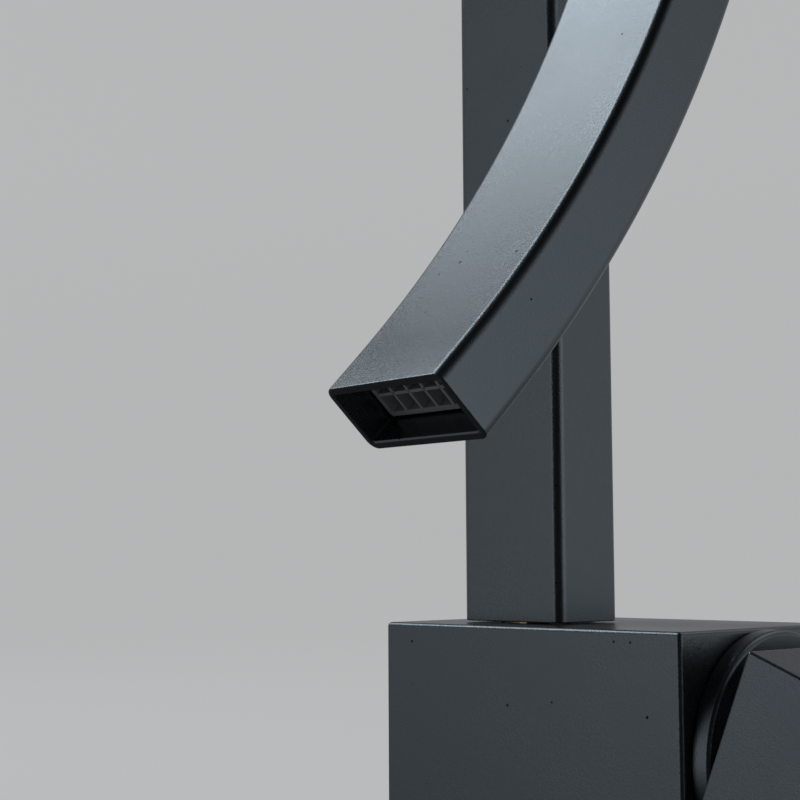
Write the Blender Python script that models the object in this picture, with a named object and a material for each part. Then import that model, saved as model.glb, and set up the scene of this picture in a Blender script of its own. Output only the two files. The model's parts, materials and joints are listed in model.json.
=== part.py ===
"""Single-lever basin mixer: block body, rectangular riser, swivelling bridge and curved flat spout.

Frame: metres, +Z up, +X towards the handle, -Y is the front.
The origin is the centre of the deck hole, on the underside of the body.
"""
import math

import bmesh
import bpy
from mathutils import Matrix, Vector

MM = 0.001
GAP = 0.3 * MM                      # clearance between neighbouring pieces
THREAD_GAP = 0.35 * MM              # clearance where two plain cylinders stand for a thread

# Body block
BODY_LEFT = -20.15 * MM
BODY_RIGHT = 47.75 * MM
BODY_DEPTH = 45.0 * MM
BODY_HEIGHT = 60.0 * MM
BODY_EDGE = 0.8 * MM

# Deck side
INLET_X = 5.0 * MM
INLET_Y = 7.5 * MM
INLET_BORE = 3.0 * MM
INLET_THREAD = 5.0 * MM
INLET_THREAD_DEPTH = 10.0 * MM
STUD_X = -9.0 * MM
STUD_RADIUS = 3.9 * MM
STUD_DEPTH = 16.0 * MM
STUD_LENGTH = 66.0 * MM
DECK_THICKNESS = 25.0 * MM
CLAMP_RADIUS = 20.5 * MM

# Cartridge, on an axis along X
CARTRIDGE_DROP = 21.0 * MM            # axis below the body's top
CARTRIDGE_Z = BODY_HEIGHT - CARTRIDGE_DROP
CARTRIDGE_BACK = 24.0 * MM
CARTRIDGE_BORE = 17.8 * MM
NUT_BORE = 18.6 * MM
NUT_SEAT = 38.5 * MM
OUTLET_PORT = 3.5 * MM
OUTLET_PORT_Z = CARTRIDGE_Z + 3.0 * MM
PORT_Z = CARTRIDGE_Z - 8.0 * MM
SEAL_THICKNESS = 0.9 * MM
BASE_THICKNESS = 2.5 * MM
DISC_THICKNESS = 3.0 * MM
CARTRIDGE_RADIUS = 17.4 * MM
SHOULDER_X = 40.7 * MM                # where the housing steps in under the nut
HOUSING_PLATE = 43.9 * MM
HOUSING_END = 45.4 * MM
NUT_END = 47.4 * MM
ROTOR_FLANGE = 42.0 * MM
ROTOR_NECK = 43.6 * MM
ROTOR_RADIUS = 9.9 * MM

# Handle and its pivot
PIVOT_X = BODY_RIGHT + 2.6 * MM
OPEN_ANGLE = math.radians(22.0)
LEVER_ARM = 11.0 * MM
HANDLE_INNER = 2.4 * MM             # pivot to the handle's inner face
HANDLE_LENGTH = 27.5 * MM
HANDLE_DEPTH = 45.0 * MM
HANDLE_TOP = 21.0 * MM              # flush with the body's top when the handle is level
HANDLE_BOTTOM = -22.0 * MM
HANDLE_EDGE = 0.5 * MM
HANDLE_CLEARANCE = 0.4 * MM         # to the body's side when the handle is fully tilted
POCKET_FLOOR = 7.6 * MM
POCKET_HALF_DEPTH = 21.3 * MM
POCKET_HALF_HEIGHT = 19.6 * MM
POCKET_DROP = 0.9 * MM
STEM_SIDE = 7.0 * MM
STEM_REACH = 20.0 * MM              # how far the stem stands in the handle
TRIM_RADIUS = 20.7 * MM
TRIM_HEIGHT = 3.8 * MM
TRIM_RIM = 0.55 * MM                # straight edge below the dome
TRIM_FLAT = 12.0 * MM               # radius where the dome turns flat
TRIM_BORE = 11.0 * MM

# Riser
RISER_X = 3.05 * MM
RISER_Y = -5.6 * MM
RISER_WIDTH = 24.0 * MM
RISER_DEPTH = 16.0 * MM
RISER_ROUND = 1.8 * MM
RISER_WALL = 2.0 * MM
RISER_TOP = BODY_HEIGHT + 187.5 * MM
SOCKET_RADIUS = 7.0 * MM
SOCKET_FLOOR = BODY_HEIGHT - 22.0 * MM
LOCK_SCREW_Z = BODY_HEIGHT - 6.0 * MM

# Swivel, bridge and spout, in the swivel's own frame
SWIVEL_REST = math.radians(-8.0)
BRIDGE_BASE = RISER_TOP + 1.4 * MM
BRIDGE_HEIGHT = 26.0 * MM
BRIDGE_DEPTH = 20.0 * MM
BRIDGE_LEFT = -13.0 * MM
BRIDGE_MARGIN = 1.0 * MM
BRIDGE_TOP = BRIDGE_BASE + BRIDGE_HEIGHT
HUB_RADIUS = 7.0 * MM
JOURNAL_RADIUS = 6.6 * MM
WATER_BORE = 3.6 * MM
CHANNEL_RADIUS = 3.0 * MM
CHANNEL_Z = BRIDGE_BASE + 12.5 * MM
SPOUT_OFFSET = 50.0 * MM
SPOUT_WIDTH = 27.7 * MM
SPOUT_THICKNESS = 12.0 * MM
SPOUT_ROUND = 1.75 * MM
SPOUT_WALL = 1.4 * MM
SPOUT_BEND = 215.15 * MM
SPOUT_ARC = math.radians(44.2)
SPOUT_TAIL = 7.8 * MM               # straight end after the bend
SPOUT_SOCKET = 7.6 * MM

ROUND_STEPS = 28
SEAL_STEPS = 16
SPOUT_STEPS = 16


# ---------------------------------------------------------------- materials

def finish(name, colour, roughness, metallic=0.0):
    material = bpy.data.materials.new(name)
    material.use_nodes = True
    shader = material.node_tree.nodes["Principled BSDF"]
    shader.inputs["Base Color"].default_value = (*colour, 1.0)
    shader.inputs["Roughness"].default_value = roughness
    shader.inputs["Metallic"].default_value = metallic
    return material


def make_finishes():
    return {
        "coating": finish("matt_dark_coating", (0.045, 0.05, 0.055), 0.42, 0.6),
        "brass": finish("machined_brass", (0.72, 0.53, 0.25), 0.32, 1.0),
        "steel": finish("stainless_steel", (0.62, 0.62, 0.61), 0.3, 1.0),
        "rubber": finish("black_rubber", (0.02, 0.02, 0.02), 0.75),
        "ceramic": finish("white_ceramic", (0.86, 0.86, 0.84), 0.25),
        "acetal": finish("white_acetal", (0.82, 0.82, 0.79), 0.5),
        "plastic": finish("grey_plastic", (0.16, 0.17, 0.18), 0.5),
    }


# ---------------------------------------------------------------- shape helpers

def add_object(name, bm, material, parent=None):
    """Turn a bmesh into a linked object with smooth round faces."""
    bmesh.ops.recalc_face_normals(bm, faces=bm.faces)
    mesh = bpy.data.meshes.new(name)
    bm.to_mesh(mesh)
    bm.free()
    if material:
        mesh.materials.append(material)
    mesh.shade_smooth()
    mesh.set_sharp_from_angle(angle=math.radians(35))
    item = bpy.data.objects.new(name, mesh)
    bpy.context.scene.collection.objects.link(item)
    item.parent = parent
    return item


def add_empty(name, location, rotation=(0.0, 0.0, 0.0), parent=None):
    marker = bpy.data.objects.new(name, None)
    bpy.context.scene.collection.objects.link(marker)
    marker.location = location
    marker.rotation_euler = rotation
    marker.parent = parent
    return marker


def box_mesh(low, high, bevel=0.0, segments=2):
    bm = bmesh.new()
    bmesh.ops.create_cube(bm, size=1.0)
    size = Vector(high) - Vector(low)
    middle = (Vector(high) + Vector(low)) / 2
    bmesh.ops.scale(bm, vec=size, verts=bm.verts)
    bmesh.ops.translate(bm, vec=middle, verts=bm.verts)
    if bevel:
        bmesh.ops.bevel(bm, geom=bm.edges[:], offset=bevel, segments=segments,
                        profile=0.5, affect="EDGES")
    return bm


def along(axis):
    """Rotation that takes +Z to the named axis."""
    turns = {
        "Z": Matrix.Identity(4),
        "X": Matrix.Rotation(math.pi / 2, 4, "Y"),
        "Y": Matrix.Rotation(-math.pi / 2, 4, "X"),
    }
    return turns[axis]


def rod_mesh(radius, start, end, centre=(0.0, 0.0), axis="Z", steps=ROUND_STEPS):
    """A plain cylinder along an axis, from start to end, at a centre in the other two coordinates."""
    bm = bmesh.new()
    bmesh.ops.create_cone(bm, cap_ends=True, segments=steps, radius1=radius, radius2=radius,
                          depth=end - start)
    bmesh.ops.transform(bm, matrix=along(axis), verts=bm.verts)
    middle = (start + end) / 2
    place = {
        "Z": Vector((centre[0], centre[1], middle)),
        "X": Vector((middle, centre[0], centre[1])),
        "Y": Vector((centre[0], middle, centre[1])),
    }
    bmesh.ops.translate(bm, vec=place[axis], verts=bm.verts)
    return bm


def turned_mesh(profile, centre=(0.0, 0.0, 0.0), axis="Z", steps=ROUND_STEPS):
    """Spin a closed outline of (radius, height) points round the axis."""
    bm = bmesh.new()
    points = [bm.verts.new((radius, 0.0, height)) for radius, height in profile]
    edges = [bm.edges.new((points[i], points[(i + 1) % len(points)])) for i in range(len(points))]
    edges = [e for e in edges if any(v.co.x > 1e-9 for v in e.verts)]
    bmesh.ops.spin(bm, geom=points + edges, cent=(0, 0, 0), axis=(0, 0, 1),
                   angle=2 * math.pi, steps=steps, use_merge=True)
    bmesh.ops.remove_doubles(bm, verts=bm.verts, dist=1e-7)
    loose = [e for e in bm.edges if not e.link_faces]
    bmesh.ops.delete(bm, geom=loose, context="EDGES")
    bmesh.ops.transform(bm, matrix=along(axis), verts=bm.verts)
    bmesh.ops.translate(bm, vec=centre, verts=bm.verts)
    return bm


def ring_profile(inner, outer, low, high, chamfer=0.0):
    if not chamfer:
        return [(inner, low), (outer, low), (outer, high), (inner, high)]
    return [(inner, low), (outer - chamfer, low), (outer, low + chamfer),
            (outer, high - chamfer), (outer - chamfer, high), (inner, high)]


def round_section(radius, centre_radius, centre_height, steps=6):
    """Circle of points for an O-ring's section."""
    turn = 2 * math.pi / steps
    return [(centre_radius + radius * math.cos(turn * i), centre_height + radius * math.sin(turn * i))
            for i in range(steps)]


def rounded_rectangle(width, depth, radius, corner_steps=3):
    """Points of a rectangle with round corners, centred on the origin, anticlockwise."""
    if radius <= 0:
        return [(width / 2, -depth / 2), (width / 2, depth / 2),
                (-width / 2, depth / 2), (-width / 2, -depth / 2)]
    points = []
    corners = [(1, -1, -90), (1, 1, 0), (-1, 1, 90), (-1, -1, 180)]
    for side_x, side_y, start in corners:
        centre_x = side_x * (width / 2 - radius)
        centre_y = side_y * (depth / 2 - radius)
        for step in range(corner_steps + 1):
            angle = math.radians(start + 90 * step / corner_steps)
            points.append((centre_x + radius * math.cos(angle), centre_y + radius * math.sin(angle)))
    return points


def prism_mesh(outline, low, high, centre=(0.0, 0.0)):
    """Extrude an outline in X and Y from low to high."""
    bm = bmesh.new()
    base = [bm.verts.new((centre[0] + x, centre[1] + y, low)) for x, y in outline]
    face = bm.faces.new(base)
    grown = bmesh.ops.extrude_face_region(bm, geom=[face])
    lifted = [v for v in grown["geom"] if isinstance(v, bmesh.types.BMVert)]
    bmesh.ops.translate(bm, vec=(0, 0, high - low), verts=lifted)
    return bm


def hexagon(across_flats):
    radius = across_flats / math.sqrt(3)
    return [(radius * math.cos(math.radians(60 * i)), radius * math.sin(math.radians(60 * i)))
            for i in range(6)]


def skin_loops(loops):
    """Closed surface through a cycle of loops, each with the same number of points."""
    bm = bmesh.new()
    rings = [[bm.verts.new(point) for point in loop] for loop in loops]
    count = len(loops[0])
    for index, near in enumerate(rings):
        far = rings[(index + 1) % len(rings)]
        for i in range(count):
            following = (i + 1) % count
            bm.faces.new((near[i], near[following], far[following], far[i]))
    return bm


def tube_mesh(outer, inner, low, high, centre=(0.0, 0.0)):
    """Straight tube between two outlines in X and Y that have the same number of points."""
    return skin_loops([[(centre[0] + x, centre[1] + y, level) for x, y in outline]
                       for outline, level in ((outer, low), (outer, high), (inner, high), (inner, low))])


def boolean(target, guide, operation="DIFFERENCE"):
    modifier = target.modifiers.new(guide.name, "BOOLEAN")
    modifier.operation = operation
    modifier.solver = "EXACT"
    modifier.object = guide
    guide.hide_render = True
    guide.display_type = "WIRE"


def cut(target, *meshes):
    for index, bm in enumerate(meshes):
        boolean(target, add_object(f"{target.name}_cut_{index}", bm, None, target.parent))


def join(target, *meshes):
    for index, bm in enumerate(meshes):
        guide = add_object(f"{target.name}_add_{index}", bm, None, target.parent)
        boolean(target, guide, "UNION")


# ---------------------------------------------------------------- body and deck side

def make_body(finishes):
    block = add_object(
        "body_block",
        box_mesh((BODY_LEFT, -BODY_DEPTH / 2, 0), (BODY_RIGHT, BODY_DEPTH / 2, BODY_HEIGHT),
                 BODY_EDGE),
        finishes["coating"])
    beyond = 5 * MM
    axis = (0.0, CARTRIDGE_Z)
    cut(block,
        rod_mesh(CARTRIDGE_BORE, CARTRIDGE_BACK, BODY_RIGHT + beyond, axis, "X", 40),
        rod_mesh(NUT_BORE, NUT_SEAT, BODY_RIGHT + beyond, axis, "X", 40),
        rod_mesh(SOCKET_RADIUS, SOCKET_FLOOR, BODY_HEIGHT + beyond, (RISER_X, RISER_Y)),
        rod_mesh(OUTLET_PORT, RISER_X, CARTRIDGE_BACK + beyond, (RISER_Y, OUTLET_PORT_Z), "X", 16),
        rod_mesh(STUD_RADIUS + THREAD_GAP, -beyond, STUD_DEPTH, (STUD_X, 0.0), "Z", 24),
        rod_mesh(2.0 * MM, RISER_Y, BODY_DEPTH / 2 + beyond, (RISER_X, LOCK_SCREW_Z), "Y", 16))
    for side, turn in (("hot", -1), ("cold", 1)):
        y = turn * INLET_Y
        cut_pieces = (
            rod_mesh(INLET_THREAD + THREAD_GAP, -beyond, INLET_THREAD_DEPTH, (INLET_X, y), "Z", 24),
            rod_mesh(INLET_BORE, 5 * MM, PORT_Z + INLET_BORE, (INLET_X, y), "Z", 16),
            rod_mesh(INLET_BORE - 0.3 * MM, INLET_X - 0.7 * MM, CARTRIDGE_BACK + beyond,
                     (y, PORT_Z), "X", 16))
        for index, bm in enumerate(cut_pieces):
            boolean(block, add_object(f"body_block_{side}_{index}", bm, None))
    middle = ((BODY_LEFT + BODY_RIGHT) / 2, 0.0)
    length = BODY_RIGHT - BODY_LEFT
    groove = [rounded_rectangle(length - edge, BODY_DEPTH - edge, 4 * MM, 4)
              for edge in (5.0 * MM, 9.6 * MM)]
    cut(block, tube_mesh(groove[0], groove[1], -beyond, 1.6 * MM, middle))
    seal = [rounded_rectangle(length - edge, BODY_DEPTH - edge, 4 * MM, 4)
            for edge in (5.7 * MM, 8.9 * MM)]
    add_object("base_gasket", tube_mesh(seal[0], seal[1], 0.0, 1.3 * MM, middle),
               finishes["rubber"])


def make_deck_fixing(finishes):
    stud_top = STUD_DEPTH - GAP
    stud_foot = stud_top - STUD_LENGTH
    point = 0.8 * MM
    add_object(
        "mounting_stud",
        turned_mesh([(0, stud_foot), (STUD_RADIUS - point, stud_foot), (STUD_RADIUS, stud_foot + point),
                     (STUD_RADIUS, stud_top - point), (STUD_RADIUS - point, stud_top), (0, stud_top)],
                    (STUD_X, 0, 0), steps=24),
        finishes["steel"])
    level = -DECK_THICKNESS - GAP
    for name, thickness, outer, material in (
            ("clamp_rubber_washer", 3.0 * MM, CLAMP_RADIUS, "rubber"),
            ("clamp_steel_washer", 2.0 * MM, CLAMP_RADIUS - 0.8 * MM, "steel")):
        washer = add_object(name, rod_mesh(outer, level - thickness, level, steps=40),
                            finishes[material])
        below = level - thickness - 2 * MM
        above = level + 2 * MM
        slot = prism_mesh(rounded_rectangle(2 * CLAMP_RADIUS, 27 * MM, 5 * MM, 3), below, above,
                          (CLAMP_RADIUS - 3.2 * MM, 0.0))
        cut(washer, rod_mesh(STUD_RADIUS + 0.5 * MM, below, above, (STUD_X, 0.0), "Z", 24), slot)
        level -= thickness + GAP
    nut = add_object("stud_nut", prism_mesh(hexagon(13 * MM), level - 9 * MM, level, (STUD_X, 0.0)),
                     finishes["brass"])
    cut(nut, rod_mesh(STUD_RADIUS + THREAD_GAP, level - 12 * MM, level + 3 * MM, (STUD_X, 0.0), "Z", 24))


def make_inlets(finishes):
    tail = -15.0 * MM
    collar = -4.5 * MM
    for side, turn in (("hot", -1), ("cold", 1)):
        place = (INLET_X, turn * INLET_Y)
        nipple = add_object(f"inlet_nipple_{side}",
                            rod_mesh(INLET_THREAD, tail, INLET_THREAD_DEPTH - GAP, place, "Z", 24),
                            finishes["brass"])
        join(nipple, prism_mesh(hexagon(11.6 * MM), collar - 4 * MM, collar, place))
        cut(nipple, rod_mesh(INLET_BORE, tail - MM, INLET_THREAD_DEPTH + MM, place, "Z", 16))
        section = round_section(0.7 * MM, INLET_THREAD + 1.1 * MM, collar + 1.1 * MM)
        add_object(f"inlet_seal_{side}", turned_mesh(section, (*place, 0), steps=SEAL_STEPS),
                   finishes["rubber"])


# ---------------------------------------------------------------- cartridge

def port_cutters(start, end, grow=0.0):
    """The three water ports that run through the cartridge's base, seal and fixed disc."""
    places = ((-INLET_Y, PORT_Z, INLET_BORE), (INLET_Y, PORT_Z, INLET_BORE),
              (RISER_Y, OUTLET_PORT_Z, OUTLET_PORT))
    return [rod_mesh(radius + grow, start, end, (y, z), "X", 16) for y, z, radius in places]


def make_cartridge_base(finishes):
    axis = (0.0, CARTRIDGE_Z)
    start = CARTRIDGE_BACK + GAP
    for name, radius, thickness, material in (
            ("cartridge_base_seal", 16.6 * MM, SEAL_THICKNESS, "rubber"),
            ("cartridge_base", CARTRIDGE_RADIUS, BASE_THICKNESS, "acetal"),
            ("ceramic_disc_fixed", 15.3 * MM, DISC_THICKNESS, "ceramic")):
        piece = add_object(name, rod_mesh(radius, start, start + thickness, axis, "X", 40),
                           finishes[material])
        cut(piece, *port_cutters(start - MM, start + thickness + MM))
        start += thickness + GAP
    return start


def make_moving_disc(finishes, start, slider):
    """Upper disc and its carrier, with an empty on the slide's line as their parent."""
    lift = LEVER_ARM * math.sin(OPEN_ANGLE)
    shift = lift / 2
    radius = 10.5 * MM
    disc_start = start - slider.location.x
    disc_end = disc_start + DISC_THICKNESS
    disc = add_object("ceramic_disc_moving",
                      rod_mesh(radius, disc_start, disc_end, (0.0, shift), "X", 32),
                      finishes["ceramic"], slider)
    cut(disc, prism_along_x(rounded_rectangle(9 * MM, 8 * MM, 2 * MM), disc_start - MM,
                            disc_start + 1.6 * MM, (0.0, shift)))
    carrier_start = disc_end + GAP
    carrier = add_object("disc_carrier",
                         rod_mesh(radius, carrier_start, carrier_start + 4.4 * MM, (0.0, shift),
                                  "X", 32),
                         finishes["acetal"], slider)
    pocket = rounded_rectangle(STEM_SIDE, STEM_SIDE, 0)
    cut(carrier, prism_along_x(pocket, carrier_start + 0.9 * MM, carrier_start + 6 * MM,
                               (0.0, lift)))


def prism_along_x(outline, start, end, centre):
    """Extrude an outline in Y and Z along X."""
    bm = prism_mesh(outline, start, end)
    swap = Matrix(((0, 0, 1, 0), (1, 0, 0, 0), (0, 1, 0, 0), (0, 0, 0, 1)))
    bmesh.ops.transform(bm, matrix=swap, verts=bm.verts)
    bmesh.ops.translate(bm, vec=(0, centre[0], centre[1]), verts=bm.verts)
    return bm


def make_housing(finishes):
    start = CARTRIDGE_BACK + 3 * GAP + SEAL_THICKNESS + BASE_THICKNESS
    wall = 15.7 * MM
    neck = 14.9 * MM
    neck_inside = 13.7 * MM
    step = SHOULDER_X - 1.2 * MM
    profile = [(wall, start), (CARTRIDGE_RADIUS, start), (CARTRIDGE_RADIUS, SHOULDER_X),
               (neck, SHOULDER_X), (neck, HOUSING_END), (10.3 * MM, HOUSING_END),
               (10.3 * MM, HOUSING_PLATE), (neck_inside, HOUSING_PLATE), (neck_inside, step),
               (wall, step)]
    add_object("cartridge_housing", turned_mesh(profile, (0, 0, CARTRIDGE_Z), "X"),
               finishes["plastic"])
    nut_profile = ring_profile(neck + 0.4 * MM, NUT_BORE - THREAD_GAP, SHOULDER_X + GAP, NUT_END,
                               0.5 * MM)
    nut = add_object("retaining_nut", turned_mesh(nut_profile, (0, 0, CARTRIDGE_Z), "X"),
                     finishes["brass"])
    notch = 2.0 * MM
    arm = NUT_BORE + MM
    for index, (half_y, half_z) in enumerate(((arm, notch), (notch, arm))):
        bar = box_mesh((NUT_END - notch, -half_y, CARTRIDGE_Z - half_z),
                       (NUT_END + notch, half_y, CARTRIDGE_Z + half_z))
        boolean(nut, add_object(f"nut_notch_{index}", bar, None))


def make_trim_ring(finishes):
    """Domed cover over the nut, with a skirt that centres it in the nut's bore."""
    start = BODY_RIGHT + GAP
    shoulder = start + TRIM_RIM
    end = BODY_RIGHT + TRIM_HEIGHT
    steps = 6
    profile = [(TRIM_RADIUS, start)]
    for step in range(steps + 1):
        angle = math.radians(90 * step / steps)
        profile.append((TRIM_FLAT + (TRIM_RADIUS - TRIM_FLAT) * math.cos(angle),
                        shoulder + (end - shoulder) * math.sin(angle)))
    skirt = 16.6 * MM
    seat = NUT_BORE - GAP
    lower = start - 0.2 * MM
    profile += [(TRIM_BORE, end), (TRIM_BORE, end - 1.4 * MM), (skirt, end - 1.6 * MM),
                (skirt, lower), (seat, lower), (seat, start)]
    add_object("trim_ring", turned_mesh(profile, (0, 0, CARTRIDGE_Z), "X", 40), finishes["coating"])


def make_rotor(finishes, rotor_axis):
    """Turning part of the cartridge top, slotted for the lever."""
    flange = ROTOR_FLANGE - PIVOT_X
    neck = ROTOR_NECK - PIVOT_X
    flange_radius = 13.3 * MM
    end = 3.0 * MM
    profile = [(0, flange), (flange_radius, flange), (flange_radius, neck), (ROTOR_RADIUS, neck),
               (ROTOR_RADIUS, end), (0, end)]
    rotor = add_object("stem_rotor", turned_mesh(profile, axis="X"), finishes["acetal"], rotor_axis)
    half = STEM_SIDE / 2 + 0.35 * MM
    cut(rotor,
        box_mesh((flange - MM, -half, -5.9 * MM), (end + MM, half, 7.8 * MM)),
        rod_mesh(1.8 * MM, -12 * MM, 12 * MM, (0.0, 0.0), "Y", 16))
    add_object("pivot_pin", rod_mesh(1.5 * MM, -8.6 * MM, 8.6 * MM, (0.0, 0.0), "Y", 16),
               finishes["steel"], rotor_axis)


def make_lever(finishes, lever_axis):
    half = STEM_SIDE / 2
    tip = HANDLE_INNER + STEM_REACH
    stem = add_object("lever_stem", box_mesh((-3.4 * MM, -half, -half), (tip, half, half), 0.4 * MM, 1),
                      finishes["steel"], lever_axis)
    ball = bmesh.new()
    bmesh.ops.create_uvsphere(ball, u_segments=16, v_segments=10, radius=3.05 * MM)
    bmesh.ops.translate(ball, vec=(-LEVER_ARM, 0, 0), verts=ball.verts)
    join(stem, rod_mesh(2.3 * MM, -LEVER_ARM, 0.0, (0.0, 0.0), "X", 16), ball)
    cut(stem, rod_mesh(1.8 * MM, -10 * MM, 10 * MM, (0.0, 0.0), "Y", 16))


def oval(half_width, half_height, drop, steps):
    turn = 2 * math.pi / steps
    return [(half_width * math.cos(turn * i), half_height * math.sin(turn * i) - drop)
            for i in range(steps)]


def tilt_relief():
    """Wedge off the handle's lower inner side, level with the body's side at full tilt."""
    reach = BODY_RIGHT + HANDLE_CLEARANCE - PIVOT_X

    def inner_at(z):
        return (reach - z * math.sin(OPEN_ANGLE)) / math.cos(OPEN_ANGLE)

    high, low = 4 * MM, HANDLE_BOTTOM - 4 * MM
    corners = ((inner_at(high), high), (inner_at(low), low), (-20 * MM, low), (-20 * MM, high))
    bm = bmesh.new()
    sides = [[bm.verts.new((x, y, z)) for x, z in corners]
             for y in (-HANDLE_DEPTH, HANDLE_DEPTH)]
    bm.faces.new(sides[0])
    bm.faces.new(list(reversed(sides[1])))
    for i in range(4):
        j = (i + 1) % 4
        bm.faces.new((sides[0][i], sides[1][i], sides[1][j], sides[0][j]))
    return bm


def make_handle(finishes, lever_axis):
    outer = HANDLE_INNER + HANDLE_LENGTH
    handle = add_object(
        "handle_block",
        box_mesh((HANDLE_INNER, -HANDLE_DEPTH / 2, HANDLE_BOTTOM),
                 (outer, HANDLE_DEPTH / 2, HANDLE_TOP), HANDLE_EDGE),
        finishes["coating"], lever_axis)
    socket = STEM_SIDE / 2 + GAP
    screw_x = HANDLE_INNER + 15.0 * MM
    screw_radius = 2.5 * MM
    beyond = 2 * MM
    cut(handle,
        prism_along_x(oval(POCKET_HALF_DEPTH, POCKET_HALF_HEIGHT, POCKET_DROP, 40), -beyond,
                      POCKET_FLOOR, (0.0, 0.0)),
        tilt_relief(),
        box_mesh((HANDLE_INNER, -socket, -socket), (HANDLE_INNER + STEM_REACH + GAP, socket, socket)),
        rod_mesh(screw_radius + THREAD_GAP, HANDLE_BOTTOM - beyond, 0.0, (screw_x, 0.0), "Z", 16),
        rod_mesh(3.4 * MM, HANDLE_BOTTOM - beyond, HANDLE_BOTTOM + 2.0 * MM, (screw_x, 0.0), "Z", 20))
    screw_foot = HANDLE_BOTTOM + 9.0 * MM
    screw = add_object("handle_grub_screw",
                       rod_mesh(screw_radius, screw_foot, -STEM_SIDE / 2 - GAP, (screw_x, 0.0), "Z", 16),
                       finishes["steel"], lever_axis)
    cut(screw, prism_mesh(hexagon(2.5 * MM), screw_foot - MM, screw_foot + 2 * MM, (screw_x, 0.0)))
    add_object("grub_screw_cap",
               rod_mesh(3.1 * MM, HANDLE_BOTTOM, HANDLE_BOTTOM + 1.7 * MM, (screw_x, 0.0), "Z", 20),
               finishes["plastic"], lever_axis)


# ---------------------------------------------------------------- riser

def make_riser(finishes):
    centre = (RISER_X, RISER_Y)
    foot = BODY_HEIGHT + GAP
    bore_width = RISER_WIDTH - 2 * RISER_WALL
    bore_depth = RISER_DEPTH - 2 * RISER_WALL
    outer = rounded_rectangle(RISER_WIDTH, RISER_DEPTH, RISER_ROUND, 4)
    inner = rounded_rectangle(bore_width, bore_depth, 0.8 * MM, 4)
    add_object("riser_tube", tube_mesh(outer, inner, foot, RISER_TOP, centre), finishes["coating"])

    plug = rounded_rectangle(bore_width - 2 * GAP, bore_depth - 2 * GAP, 0.8 * MM, 2)
    spigot = SOCKET_RADIUS - GAP
    spigot_end = BODY_HEIGHT - 14.0 * MM
    seal_z = BODY_HEIGHT - 11.0 * MM
    plug_top = BODY_HEIGHT + 13.0 * MM
    connector = add_object("riser_foot", prism_mesh(plug, foot + GAP, plug_top, centre),
                           finishes["brass"])
    groove = 0.9 * MM
    join(connector, turned_mesh(
        [(0, spigot_end), (spigot, spigot_end), (spigot, seal_z - groove), (5.1 * MM, seal_z - groove),
         (5.1 * MM, seal_z + groove), (spigot, seal_z + groove), (spigot, LOCK_SCREW_Z - 2.1 * MM),
         (5.6 * MM, LOCK_SCREW_Z - 2.1 * MM), (5.6 * MM, LOCK_SCREW_Z + 2.1 * MM),
         (spigot, LOCK_SCREW_Z + 2.1 * MM), (spigot, foot - GAP), (5.5 * MM, foot - GAP),
         (5.5 * MM, plug_top - 5 * MM), (0, plug_top - 5 * MM)], (*centre, 0), steps=24))
    cut(connector, rod_mesh(WATER_BORE, spigot_end - MM, plug_top + MM, centre, "Z", 20))
    add_object("riser_foot_seal",
               turned_mesh(round_section(0.55 * MM, 6.05 * MM, seal_z), (*centre, 0), steps=SEAL_STEPS),
               finishes["rubber"])
    screw_end = RISER_Y + 5.6 * MM + GAP
    lock = add_object("riser_lock_screw",
                      rod_mesh(1.65 * MM, screw_end, BODY_DEPTH / 2 - 1.0 * MM,
                               (RISER_X, LOCK_SCREW_Z), "Y", 16),
                      finishes["steel"])
    slot_start = BODY_DEPTH / 2 - 3.0 * MM
    key = rod_mesh(0.9 * MM, slot_start, BODY_DEPTH / 2 + MM, (RISER_X, LOCK_SCREW_Z), "Y", 6)
    cut(lock, key)


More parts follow.
